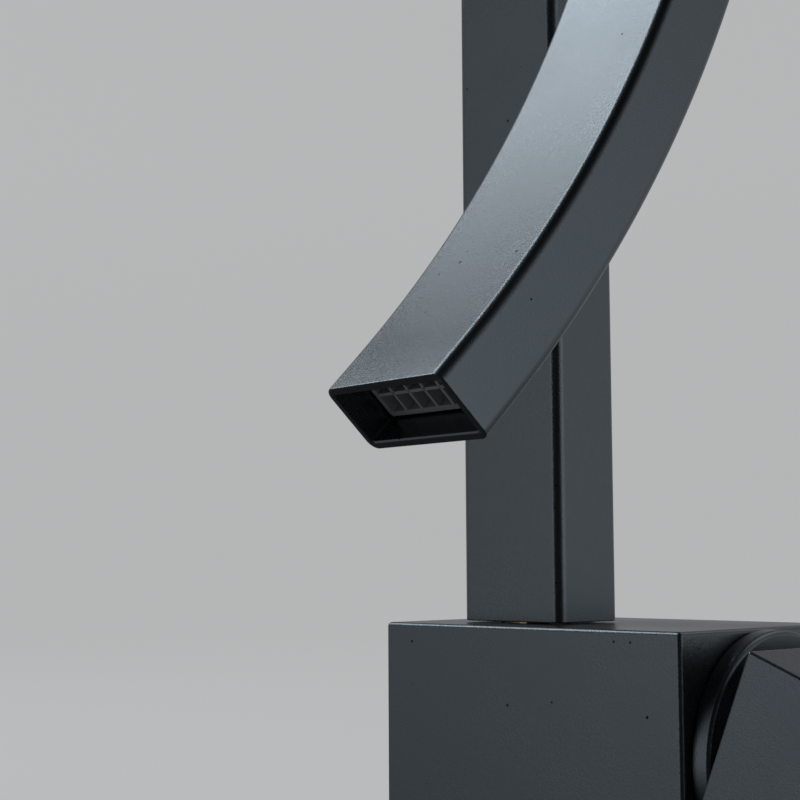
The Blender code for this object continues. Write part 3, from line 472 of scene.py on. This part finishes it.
def makeCoating():
    look = coatingLook
    material, tree, shader = startMaterial("darkCoating", look["metallic"])
    grain = useGroup(tree, sprayedGrain, {"Size": look["grain"], "Depth": 1.0, "Sheen": look["sheen"],
                                          "Spread": look["spread"]})
    nibs = useGroup(tree, dustNibs, {"Spacing": look["nibSpacing"], "Dot": look["nibDot"],
                                     "Share": look["nibShare"]})
    edges = useGroup(tree, paintedEdgeHighlight, look["edge"])
    colour = blendColours(tree, grain.outputs["Cloud"], look["cloud"], look["base"])
    # convex edges take a lighter colour: a painted highlight along the edges
    colour = blendColours(tree, edges.outputs["Mask"], colour, look["paintedEdgeLight"])
    colour = blendColours(tree, nibs.outputs["Mask"], colour, look["nib"])
    tree.links.new(colour, shader.inputs["Base Color"])
    rough = mathNode(tree, "ADD", grain.outputs["Roughness"],
                     mathNode(tree, "MULTIPLY", nibs.outputs["Mask"], look["nibRough"]), clamp=True)
    tree.links.new(rough, shader.inputs["Roughness"])
    height = mathNode(tree, "ADD", grain.outputs["Height"],
                      mathNode(tree, "MULTIPLY", nibs.outputs["Mask"], look["nibHeight"]))
    addBump(tree, shader, height, look["bump"])
    return material


metalLooks = {
    "machinedBrass": {"base": (0.70, 0.50, 0.22), "worn": (0.55, 0.37, 0.15), "sheen": 0.27,
                      "spread": 0.2, "pitch": 0.00016, "bump": 0.000004},
    "stainlessSteel": {"base": (0.60, 0.60, 0.59), "worn": (0.48, 0.48, 0.48), "sheen": 0.26,
                       "spread": 0.22, "pitch": 0.0001, "bump": 0.000003},
}


def makeMetal(name, axis):
    look = metalLooks[name]
    material, tree, shader = startMaterial(name + axis, 1.0)
    direction = {"X": (1.0, 0.0, 0.0), "Y": (0.0, 1.0, 0.0), "Z": (0.0, 0.0, 1.0)}[axis]
    marks = useGroup(tree, latheMarks, {"Axis": direction, "Pitch": look["pitch"], "Depth": 1.0,
                                        "Sheen": look["sheen"], "Spread": look["spread"]})
    edges = useGroup(tree, paintedEdgeHighlight, {"Start": 0.53, "End": 0.65, "Amount": 0.5})
    colour = blendColours(tree, marks.outputs["Tone"], look["worn"], look["base"])
    # convex edges take a brighter colour: a painted highlight along the edges
    paintedEdgeColour = tuple(min(1.0, channel * 1.2) for channel in look["base"])
    colour = blendColours(tree, edges.outputs["Mask"], colour, paintedEdgeColour)
    tree.links.new(colour, shader.inputs["Base Color"])
    tree.links.new(marks.outputs["Roughness"], shader.inputs["Roughness"])
    addBump(tree, shader, marks.outputs["Height"], look["bump"])
    return material


softLooks = {
    "blackRubber": {"base": (0.021, 0.021, 0.022), "pale": (0.04, 0.04, 0.041), "sheen": 0.72,
                    "spread": 0.2, "grain": 0.00035, "bump": 0.00002, "nibs": 0.1},
    "lappedCeramic": {"base": (0.86, 0.86, 0.84), "pale": (0.80, 0.80, 0.77), "sheen": 0.18,
                      "spread": 0.12, "grain": 0.00018, "bump": 0.000001, "nibs": 0.12},
    "whiteAcetal": {"base": (0.82, 0.82, 0.79), "pale": (0.74, 0.74, 0.70), "sheen": 0.42,
                    "spread": 0.15, "grain": 0.0004, "bump": 0.00001, "nibs": 0.0},
    "greyPlastic": {"base": (0.115, 0.12, 0.125), "pale": (0.16, 0.165, 0.17), "sheen": 0.5,
                    "spread": 0.2, "grain": 0.0003, "bump": 0.000014, "nibs": 0.0},
}


def makeSoft(name):
    look = softLooks[name]
    material, tree, shader = startMaterial(name, 0.0)
    grain = useGroup(tree, sprayedGrain, {"Size": look["grain"], "Depth": 1.0, "Sheen": look["sheen"],
                                          "Spread": look["spread"]})
    nibs = useGroup(tree, dustNibs, {"Spacing": 0.002, "Dot": 0.12, "Share": look["nibs"]})
    edges = useGroup(tree, paintedEdgeHighlight, {"Start": 0.53, "End": 0.65, "Amount": 0.4})
    colour = blendColours(tree, grain.outputs["Cloud"], look["base"], look["pale"])
    # convex edges take the pale tone: a painted highlight along the edges
    colour = blendColours(tree, edges.outputs["Mask"], colour, look["pale"])
    colour = blendColours(tree, nibs.outputs["Mask"], colour, look["pale"])
    tree.links.new(colour, shader.inputs["Base Color"])
    tree.links.new(grain.outputs["Roughness"], shader.inputs["Roughness"])
    addBump(tree, shader, grain.outputs["Height"], look["bump"])
    return material


coating = makeCoating()
brass = {axis: makeMetal("machinedBrass", axis) for axis in "XZ"}
steel = {axis: makeMetal("stainlessSteel", axis) for axis in "XYZ"}
softs = {name: makeSoft(name) for name in softLooks}
print("finishes made")


# Body block: a square-edged casting, bored for the cartridge, the riser and the deck fittings

bodyLook = {"fillet": 0.8 * mm, "cartridgeBore": 17.8 * mm, "nutBore": 18.6 * mm,
            "cartridgeBack": 24.0 * mm, "nutSeat": 38.5 * mm, "socket": 7.0 * mm,
            "socketDepth": 22.0 * mm, "lockScrewDrop": 6.0 * mm, "stud": (-9.0 * mm, 0.0),
            "studBore": 4.25 * mm, "studDepth": 16.0 * mm, "inletX": 5.0 * mm, "inletY": 7.5 * mm,
            "inletBore": 5.35 * mm, "inletDepth": 10.0 * mm, "waterway": 3.0 * mm,
            "outletPort": 3.5 * mm, "outletRise": 3.0 * mm, "portDrop": 8.0 * mm,
            "lockScrewBore": 2.0 * mm, "branchStart": 5.0 * mm, "branchTrim": 0.3 * mm,
            "branchReach": 0.7 * mm, "grooveDepth": 1.6 * mm, "grooveCorner": 4.0 * mm,
            "grooveInsets": (5.0 * mm, 9.6 * mm)}


def makeBody():
    look = bodyLook
    low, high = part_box("body_block")
    beyond = 5 * mm
    axisZ = leverPoint.z
    portZ = axisZ - look["portDrop"]
    top = high.z
    riser = (swivelPoint.x, swivelPoint.y)
    cutters = [
        rod(look["cartridgeBore"], look["cartridgeBack"], high.x + beyond, "X", (0.0, axisZ), 96),
        rod(look["nutBore"], look["nutSeat"], high.x + beyond, "X", (0.0, axisZ), 96),
        rod(look["socket"], top - look["socketDepth"], top + beyond, "Z", riser),
        rod(look["outletPort"], riser[0], look["cartridgeBack"] + beyond, "X",
            (riser[1], axisZ + look["outletRise"]), 32),
        rod(look["studBore"], -beyond, look["studDepth"], "Z", look["stud"]),
        rod(look["lockScrewBore"], riser[1], high.y + beyond, "Y",
            (riser[0], top - look["lockScrewDrop"]), 32)]
    for side in (-1, 1):
        y = side * look["inletY"]
        cutters += [
            rod(look["inletBore"], -beyond, look["inletDepth"], "Z", (look["inletX"], y)),
            rod(look["waterway"], look["branchStart"], portZ + look["waterway"], "Z",
                (look["inletX"], y), 32),
            rod(look["waterway"] - look["branchTrim"], look["inletX"] - look["branchReach"],
                look["cartridgeBack"] + beyond, "X", (y, portZ), 32)]
    middle = ((low.x + high.x) / 2, 0.0)
    outer, inner = [roundedOutline(high.x - low.x - inset, high.y - low.y - inset,
                                    look["grooveCorner"], 8)
                    for inset in look["grooveInsets"]]
    cutters.append(skinLoops([[(middle[0] + x, middle[1] + y, level) for x, y in outline]
                              for outline, level in ((outer, -beyond), (outer, look["grooveDepth"]),
                                                     (inner, look["grooveDepth"]), (inner, -beyond))]))
    return makePiece("bodyBlock", filletBox(low, high, look["fillet"], 6), coating, "body",
                     ["body_block"], cutters=cutters, edge=0.18 * mm)


makeBody()
print("body block made")


# Riser: a straight rectangular tube with round corners

riserLook = {"corner": 1.8 * mm, "wall": 2.0 * mm, "innerCorner": 0.8 * mm, "rim": 0.25 * mm}


def makeRiser():
    look = riserLook
    low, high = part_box("riser_tube")
    width, depth = high.x - low.x, high.y - low.y
    centre = ((low.x + high.x) / 2, (low.y + high.y) / 2)
    rim = look["rim"]
    rings = []
    for inset, level in ((rim, low.z), (rim * 0.3, low.z + rim * 0.3), (0.0, low.z + rim),
                         (0.0, high.z - rim), (rim * 0.3, high.z - rim * 0.3), (rim, high.z)):
        outline = roundedOutline(width - 2 * inset, depth - 2 * inset, look["corner"] - inset, 8)
        rings.append([(centre[0] + x, centre[1] + y, level) for x, y in outline])
    inner = roundedOutline(width - 2 * look["wall"], depth - 2 * look["wall"], look["innerCorner"], 8)
    for level in (high.z, low.z):
        rings.append([(centre[0] + x, centre[1] + y, level) for x, y in inner])
    return makePiece("riserTube", skinLoops(rings), coating, "body", ["riser_tube"])


makeRiser()
print("riser made")


# Spout: the same kind of tube, straight in the bridge and then bent on one long arc

spoutLook = {"offset": 50.0 * mm, "width": 27.7 * mm, "thickness": 12.0 * mm, "corner": 1.75 * mm,
             "wall": 1.4 * mm, "innerCorner": 0.5 * mm, "bend": 215.15 * mm, "arc": 44.2,
             "tail": 7.8 * mm, "bendTop": 247.5 * mm, "lip": 0.22 * mm, "stations": 96,
             "cornerSteps": 8}


def spoutStation(share):
    # a frame on the bend, its Z along the tube, from the bend's top at 0 to its foot at 1
    look = spoutLook
    toCentre = Matrix.Translation((look["offset"], -look["bend"], look["bendTop"]))
    fromCentre = Matrix.Translation((0.0, look["bend"], 0.0))
    return toCentre @ turned(-look["arc"] * share, "X") @ fromCentre


mouthFrame = swivelFrame @ spoutStation(1.0) @ Matrix.Translation((0.0, 0.0, -spoutLook["tail"]))


def makeSpout():
    look = spoutLook
    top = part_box("spout_tube")[1].z

    def ring(place, inset, inside=False):
        if inside:
            inset = look["wall"] - inset
        corner = look["innerCorner"] if inside else look["corner"] - inset
        outline = roundedOutline(look["width"] - 2 * inset, look["thickness"] - 2 * inset, corner,
                                 look["cornerSteps"])
        return [place @ Vector((x, y, 0.0)) for x, y in outline]

    lip = look["lip"]
    start = Matrix.Translation((look["offset"], 0.0, top))
    places = [start] + [spoutStation(step / look["stations"]) for step in range(look["stations"] + 1)]
    end = spoutStation(1.0) @ Matrix.Translation((0.0, 0.0, -look["tail"]))

    def back(distance):
        return end @ Matrix.Translation((0.0, 0.0, distance))

    rings = [ring(place, 0.0) for place in places]
    rings += [ring(back(lip), 0.0), ring(back(lip * 0.3), lip * 0.3), ring(end, lip)]
    rings += [ring(end, lip, True), ring(back(lip), 0.0, True)]
    rings += [ring(place, 0.0, True) for place in reversed(places)]
    return makePiece("spoutTube", skinLoops(rings), coating, "spout_arm",
                     ["spout_tube"], place=swivelFrame)


makeSpout()
print("spout made")


# Bridge: the arm that joins riser and spout, with its cap and the plug of its cross drilling

bridgeLook = {"left": -13.0 * mm, "margin": 1.0 * mm, "depth": 20.0 * mm, "height": 26.0 * mm,
              "fillet": 0.8 * mm, "hub": 7.0 * mm, "capBore": 8.3 * mm, "ledge": 4.1 * mm,
              "channel": 3.0 * mm, "channelRise": 12.5 * mm, "socketDepth": 7.6 * mm,
              "plugBore": 4.2 * mm, "plugDepth": 4.0 * mm, "screwRise": 3.6 * mm,
              "screwSpread": 9.0 * mm, "screwBore": 1.9 * mm, "gap": 0.3 * mm,
              "chamber": (22.0 * mm, 8.0 * mm, 2.0 * mm), "chamberRise": 4.0 * mm,
              "cap": 8.0 * mm, "plug": 3.85 * mm, "rim": 0.3 * mm}


def makeBridge():
    look = bridgeLook
    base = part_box("bridge_arm")[0].z
    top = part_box("bridge_arm")[1].z
    right = spoutLook["offset"] + spoutLook["width"] / 2 + look["margin"]
    ledge = top - look["ledge"]
    channelZ = base + look["channelRise"]
    socketTop = base + look["socketDepth"]
    gap = look["gap"]
    socket = roundedOutline(spoutLook["width"] + 2 * gap, spoutLook["thickness"] + 2 * gap,
                            spoutLook["corner"] + gap, 8)
    chamber = roundedOutline(*look["chamber"], 6)
    seat = (spoutLook["offset"], 0.0)
    cutters = [rod(look["hub"], base - mm, top - mm, steps=64),
               rod(look["capBore"], ledge, top + mm, steps=96),
               prism(socket, base - mm, socketTop, seat),
               prism(chamber, socketTop - 2 * mm, channelZ + look["chamberRise"], seat),
               rod(look["channel"], 0.0, right + mm, "X", (0.0, channelZ), 32),
               rod(look["plugBore"], right - look["plugDepth"], right + mm, "X", (0.0, channelZ), 64)]
    for side in (-1, 1):
        cutters.append(rod(look["screwBore"], 0.0, look["depth"], "Y",
                           (spoutLook["offset"] + side * look["screwSpread"],
                            base + look["screwRise"]), 32))
    makePiece("bridgeArm",
              filletBox((look["left"], -look["depth"] / 2, base), (right, look["depth"] / 2, top),
                        look["fillet"], 6),
              coating, "spout_arm", ["bridge_arm"], place=swivelFrame,
              cutters=cutters, edge=0.18 * mm)
    cap, plug, rim = look["cap"], look["plug"], look["rim"]
    makePiece("swivelCap",
              lathe([(0, top - mm), (cap, top - mm), (cap, top - rim), (cap - rim * 0.3, top - rim * 0.3),
                     (cap - rim, top), (0, top)], 96),
              coating, "spout_arm", ["swivel_cap"], place=swivelFrame)
    start, end = right - look["plugDepth"] + gap, right - 0.2 * mm
    makePiece("channelPlug",
              lathe([(0, start), (plug, start), (plug, end - rim), (plug - rim * 0.3, end - rim * 0.3),
                     (plug - rim, end), (0, end)], 64, "X", (0.0, 0.0, channelZ)),
              coating, "spout_arm", ["channel_plug"], place=swivelFrame)


makeBridge()
print("bridge made")


# Trim ring and handle

trimLook = {"radius": 20.7 * mm, "bore": 11.0 * mm, "flat": 19.8 * mm, "rim": 2.6 * mm,
            "skirt": 16.6 * mm, "seat": 18.3 * mm, "plate": 1.4 * mm}


def makeTrim():
    look = trimLook
    low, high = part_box("trim_ring")
    step = 0.2 * mm
    start, end = low.x + step, high.x
    shoulder = start + look["rim"]
    dome = look["radius"] - look["flat"]
    profile = [(look["radius"] - step, start), (look["radius"], start + step)]
    for i in range(25):
        angle = math.radians(90 * i / 24)
        profile.append((look["flat"] + dome * math.cos(angle),
                        shoulder + (end - shoulder) * math.sin(angle)))
    rim = 0.15 * mm
    profile += [(look["bore"] + rim, end), (look["bore"], end - rim), (look["bore"], end - look["plate"]),
                (look["skirt"], end - look["plate"] - step), (look["skirt"], low.x),
                (look["seat"], low.x), (look["seat"], start)]
    return makePiece("trimRing", lathe(profile, 160, "X", (0.0, 0.0, leverPoint.z)), coating, "body",
                     ["trim_ring"])


handleLook = {"inner": 2.4 * mm, "length": 27.5 * mm, "depth": 45.0 * mm, "top": 21.0 * mm,
              "bottom": -22.0 * mm, "fillet": 0.5 * mm, "pocketFloor": 9.6 * mm,
              "pocket": (21.3 * mm, 19.9 * mm), "pocketDrop": 0.9 * mm, "clearance": 0.4 * mm,
              "socket": 3.8 * mm, "socketDepth": 20.3 * mm, "screwX": 17.4 * mm,
              "screwBore": 2.85 * mm, "capBore": 3.4 * mm, "capDepth": 2.0 * mm}


def tiltWedge(look):
    # what is off the handle's lower inner side, so that it clears the body at full tilt
    tilt = math.radians(restAngles["lever"])
    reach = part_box("body_block")[1].x + look["clearance"] - leverPoint.x
    corners = []
    for z in (4 * mm, look["bottom"] - 4 * mm):
        corners.append(((reach - z * math.sin(tilt)) / math.cos(tilt), z))
    corners += [(-20 * mm, corners[1][1]), (-20 * mm, corners[0][1])]
    side = look["depth"]
    return skinLoops([[(x, y, z) for x, z in corners] for y in (side, -side)], closed=False)


def makeHandle():
    look = handleLook
    inner, bottom = look["inner"], look["bottom"]
    halfDepth, halfHeight = look["pocket"]
    pocket = [(halfDepth * math.cos(2 * math.pi * i / 120),
               halfHeight * math.sin(2 * math.pi * i / 120) - look["pocketDrop"]) for i in range(120)]
    hollow = skinLoops([[(x, y, z) for y, z in pocket] for x in (look["pocketFloor"], -2 * mm)],
                       closed=False)
    cutters = [hollow, tiltWedge(look),
               filletBox((inner, -look["socket"], -look["socket"]),
                         (inner + look["socketDepth"], look["socket"], look["socket"])),
               rod(look["screwBore"], bottom - 2 * mm, 0.0, "Z", (look["screwX"], 0.0), 32),
               rod(look["capBore"], bottom - 2 * mm, bottom + look["capDepth"], "Z",
                   (look["screwX"], 0.0), 64)]
    makePiece("handleBlock",
              filletBox((inner, -look["depth"] / 2, bottom),
                        (inner + look["length"], look["depth"] / 2, look["top"]), look["fillet"], 6),
              coating, "lever", ["handle_block"], place=leverFrame, cutters=cutters,
              edge=0.12 * mm)


makeTrim()
makeHandle()
print("trim ring and handle made")


# Threaded pieces under the deck and the straightener in the mouth

threadLooks = {
    # shank radius, how far the ridge stands out, its pitch, and what stays plain at each end
    "mountingStud": {"node": "mounting_stud", "root": 3.35 * mm, "rise": 0.5 * mm, "pitch": 1.25 * mm,
                     "cut": 1.2 * mm, "finish": steel["Z"], "slot": "steel"},
    "hotNipple": {"node": "inlet_nipple_hot", "root": 4.5 * mm, "rise": 0.45 * mm, "pitch": 1.0 * mm,
                  "cut": 0.9 * mm, "finish": brass["Z"], "slot": "brass"},
    "coldNipple": {"node": "inlet_nipple_cold", "root": 4.5 * mm, "rise": 0.45 * mm, "pitch": 1.0 * mm,
                   "cut": 0.9 * mm, "finish": brass["Z"], "slot": "brass"},
}
nippleLook = {"hex": 11.6 * mm, "collar": -4.5 * mm, "collarHeight": 4.0 * mm, "bore": 3.0 * mm}


def makeThreaded(name):
    look = threadLooks[name]
    low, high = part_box(look["node"])
    centre = (round((low.x + high.x) / 2, 5), round((low.y + high.y) / 2, 5), 0.0)
    root, cut = look["root"], look["cut"]
    profile = [(0, low.z), (root - cut / 3, low.z), (root, low.z + cut / 3), (root, high.z - cut / 3),
               (root - cut / 3, high.z), (0, high.z)]
    cutters, added = [], []
    if look["slot"] == "brass":
        bore = nippleLook["bore"]
        profile = [(bore, low.z)] + profile[1:-1] + [(bore, high.z)]
        added = [prism(hexOutline(nippleLook["hex"]), nippleLook["collar"] - nippleLook["collarHeight"],
                       nippleLook["collar"], centre[:2])]
        cutters = [rod(bore, low.z - mm, high.z + mm, "Z", centre[:2], 32)]
    turns = (high.z - low.z - 2 * cut) / look["pitch"]
    makePiece(name, lathe(profile, 64, "Z", centre), look["finish"], "body",
              [look["node"]], cutters=cutters, added=added, nodeTree=cutThread,
              treeInputs={"Root": root, "Rise": look["rise"], "Pitch": look["pitch"], "Turns": turns,
                          "Foot": (centre[0], centre[1], low.z + cut), "Finish": look["finish"]})


for threaded in threadLooks:
    makeThreaded(threaded)


straightenerLook = {"play": 0.8 * mm, "corner": 0.6 * mm, "recess": 5.0 * mm, "height": 6.0 * mm,
                    "rib": 0.9 * mm, "web": 0.55 * mm, "columns": 6, "rows": 2}


def makeStraightener():
    look = straightenerLook
    width = spoutLook["width"] - 2 * spoutLook["wall"] - look["play"]
    depth = spoutLook["thickness"] - 2 * spoutLook["wall"] - look["play"]
    low, high = look["recess"], look["recess"] + look["height"]
    outer = roundedOutline(width, depth, look["corner"], 6)
    inner = roundedOutline(width - 2 * look["rib"], depth - 2 * look["rib"], 0.15 * mm, 6)
    frameLoops = [[(x, y, low) for x, y in outer], [(x, y, high) for x, y in outer],
                  [(x, y, high) for x, y in inner], [(x, y, low) for x, y in inner]]
    grey = softs["greyPlastic"]
    cell = ((width - 1.9 * look["rib"]) / look["columns"], (depth - 1.9 * look["rib"]) / look["rows"],
            look["height"])
    makePiece("flowStraightener", skinLoops(frameLoops), grey, "spout_arm",
              ["flow_straightener"], place=mouthFrame, edge=0.08 * mm, nodeTree=ribLattice,
              treeInputs={"Columns": look["columns"], "Rows": look["rows"], "Cell": cell,
                          "Rib": look["web"], "Centre": (0.0, 0.0, (low + high) / 2),
                          "Finish": grey})


makeStraightener()
print("threads and straightener made")


# Metal and moulded pieces that the CAD already shapes take their finish here

nodeFinishes = {
    "rubber": softs["blackRubber"], "ceramic": softs["lappedCeramic"], "acetal": softs["whiteAcetal"],
    "grey_plastic": softs["greyPlastic"], "coated_metal": coating, "brass": brass["Z"],
    "steel": steel["Z"],
}
turnedAlongX = {"retaining_nut": brass["X"], "lever_stem": steel["X"]}
turnedAlongY = {"pivot_pin": steel["Y"], "riser_lock_screw": steel["Y"],
                "spout_grub_screw_left": steel["Y"], "spout_grub_screw_right": steel["Y"]}


def finishNodes():
    for name, node in frame["nodes"].items():
        special = turnedAlongX.get(name) or turnedAlongY.get(name)
        for place in node.material_slots:
            known = place.material.name.split(".")[0]
            place.material = special or nodeFinishes[known]


finishNodes()
print("carried pieces finished")


# Stage: a pale floor that curves up into a wall all round, soft light and a dark side by the camera

stageLook = {"reach": 2.4, "cove": 0.7, "height": 1.6, "paint": (0.13, 0.132, 0.134),
             "glow": (0.425, 0.43, 0.432), "glowStrength": 1.0, "shade": 0.97,
             "rings": (0.3, 0.8, 1.3), "coveSteps": 24, "roundSteps": 96}


def makeStage():
    look = stageLook
    profile = [(radius, 0.0) for radius in (*look["rings"], look["reach"] - look["cove"])]
    for step in range(1, look["coveSteps"] + 1):
        angle = math.radians(90 * step / look["coveSteps"])
        profile.append((look["reach"] - look["cove"] * (1 - math.sin(angle)),
                        look["cove"] * (1 - math.cos(angle))))
    profile.append((look["reach"], look["height"]))
    bm = bmesh.new()
    steps = look["roundSteps"]
    rings = []
    for radius, height in profile:
        rings.append([bm.verts.new((radius * math.cos(2 * math.pi * i / steps),
                                    radius * math.sin(2 * math.pi * i / steps), height))
                      for i in range(steps)])
    bm.faces.new(rings[0])
    for near, far in zip(rings, rings[1:]):
        for i in range(steps):
            j = (i + 1) % steps
            bm.faces.new((near[i], far[i], far[j], near[j]))
    material, tree, shader = startMaterial("palePaper", 0.0, Roughness=0.9)
    shader.inputs["Specular IOR Level"].default_value = 0.1
    shader.inputs["Emission Strength"].default_value = look["glowStrength"]
    shader.inputs["Emission Color"].default_value = (*look["glow"], 1.0)
    point = addNode(tree, "ShaderNodeTexCoord").outputs["Object"]
    cloud = addNode(tree, "ShaderNodeTexNoise", {"Vector": point, "Scale": 3.0, "Detail": 2.0})
    dark = tuple(channel * look["shade"] for channel in look["paint"])
    tree.links.new(blendColours(tree, cloud.outputs[0], dark, look["paint"]),
                   shader.inputs["Base Color"])
    sweep = looseObject("studioSweep", bm, material)
    for face in sweep.data.polygons:
        face.use_smooth = True
    sweep.visible_glossy = False


worldLook = {
    # degrees round from +X, and how bright the room is there
    "round": ((-180, 0.42), (-150, 0.36), (-140, 0.37), (-134, 0.49), (-128, 0.76), (-120, 0.80),
              (-113, 1.3), (-105, 0.03), (-20, 0.03), (4, 1.05), (20, 1.1), (30, 0.92), (38, 0.66),
              (60, 0.55), (95, 0.42), (125, 0.42), (150, 0.42), (180, 0.42)),
    "rise": ((0.0, 0.05), (0.3, 0.12), (0.42, 0.75), (0.48, 1.0), (0.6, 0.9), (0.72, 0.55),
             (0.85, 0.15), (1.0, 0.08)),
    "tint": (0.97, 1.0, 1.03), "seen": (0.50, 0.505, 0.51),
}


def fillRamp(ramp, stops):
    elements = ramp.color_ramp.elements
    while len(elements) > 1:
        elements.remove(elements[-1])
    elements[0].position = stops[0][0]
    elements[0].color = (stops[0][1],) * 3 + (1.0,)
    for position, value in stops[1:]:
        element = elements.new(position)
        element.color = (value,) * 3 + (1.0,)


def makeWorld():
    look = worldLook
    world = bpy.data.worlds.new("softRoom")
    bpy.context.scene.world = world
    world.use_nodes = True
    tree = world.node_tree
    tree.nodes.clear()
    direction = addNode(tree, "ShaderNodeTexCoord").outputs["Generated"]
    parts = addNode(tree, "ShaderNodeSeparateXYZ", {0: direction})
    heading = mathNode(tree, "ARCTAN2", parts.outputs["Y"], parts.outputs["X"])
    turn = mathNode(tree, "ADD", mathNode(tree, "DIVIDE", heading, 2 * math.pi), 0.5)
    aroundRamp = addNode(tree, "ShaderNodeValToRGB", {0: turn})
    peak = max(value for _, value in look["round"])
    fillRamp(aroundRamp, [((degrees + 180) / 360, value / peak) for degrees, value in look["round"]])
    rise = mathNode(tree, "ADD", mathNode(tree, "MULTIPLY", parts.outputs["Z"], 0.5), 0.5)
    riseRamp = addNode(tree, "ShaderNodeValToRGB", {0: rise})
    fillRamp(riseRamp, look["rise"])
    both = mathNode(tree, "MULTIPLY", aroundRamp.outputs[0], riseRamp.outputs[0])
    lit = addNode(tree, "ShaderNodeBackground", {"Color": (*look["tint"], 1.0),
                                                 "Strength": mathNode(tree, "MULTIPLY", both, peak)})
    seen = addNode(tree, "ShaderNodeBackground", {"Color": (*look["seen"], 1.0), "Strength": 1.0})
    path = addNode(tree, "ShaderNodeLightPath")
    mix = addNode(tree, "ShaderNodeMixShader", {0: path.outputs["Is Camera Ray"],
                                                1: lit.outputs[0], 2: seen.outputs[0]})
    output = addNode(tree, "ShaderNodeOutputWorld")
    tree.links.new(mix.outputs[0], output.inputs["Surface"])


lightLook = {
    # name: direction from the spout, distance, size, radiance, colour
    "sideSoftbox": {"towards": (-0.72, -0.16, 0.68), "away": 0.9, "size": (0.38, 0.46),
                    "radiance": 4.6, "colour": (0.95, 1.0, 1.04)},
    "fillPanel": {"towards": (0.2, 0.75, 0.85), "away": 1.2, "size": (0.8, 0.8),
                  "radiance": 0.8, "colour": (1.0, 0.99, 0.97)},
}
lightTarget = Vector((45.0, -40.0, 150.0)) * mm


def makeLights():
    for name, look in lightLook.items():
        light = bpy.data.lights.new(name, "AREA")
        light.shape = "RECTANGLE"
        light.size, light.size_y = look["size"]
        light.energy = look["radiance"] * math.pi * light.size * light.size_y
        light.color = look["colour"]
        lamp = bpy.data.objects.new(name, light)
        bpy.context.scene.collection.objects.link(lamp)
        direction = Vector(look["towards"]).normalized()
        lamp.location = lightTarget + direction * look["away"]
        lamp.rotation_euler = direction.to_track_quat("Z", "Y").to_euler()
        lamp.visible_camera = False


cameraLook = {"place": (216.17, -243.23, 72.12), "lens": 77.6, "sensor": 36.0, "heading": 46.464,
              "tilt": 5.185, "roll": -0.308}


def makeCamera():
    look = cameraLook
    heading, tilt, roll = (math.radians(look[key]) for key in ("heading", "tilt", "roll"))
    forward = Vector((-math.sin(heading) * math.cos(tilt), math.cos(heading) * math.cos(tilt),
                      math.sin(tilt)))
    level = Vector((math.cos(heading), math.sin(heading), 0.0))
    up = level.cross(forward)
    right = math.cos(roll) * level + math.sin(roll) * up
    above = -math.sin(roll) * level + math.cos(roll) * up
    lens = bpy.data.cameras.new("mainCamera")
    lens.lens = look["lens"]
    lens.sensor_width = look["sensor"]
    lens.clip_start = 0.01
    lens.clip_end = 20.0
    camera = bpy.data.objects.new("mainCamera", lens)
    bpy.context.scene.collection.objects.link(camera)
    camera.matrix_world = Matrix((
        (right.x, above.x, -forward.x, look["place"][0] * mm),
        (right.y, above.y, -forward.y, look["place"][1] * mm),
        (right.z, above.z, -forward.z, look["place"][2] * mm),
        (0.0, 0.0, 0.0, 1.0)))
    bpy.context.scene.camera = camera


makeStage()
makeWorld()
makeLights()
makeCamera()
bpy.context.scene.view_settings.view_transform = "Standard"
print("stage, light and camera made")
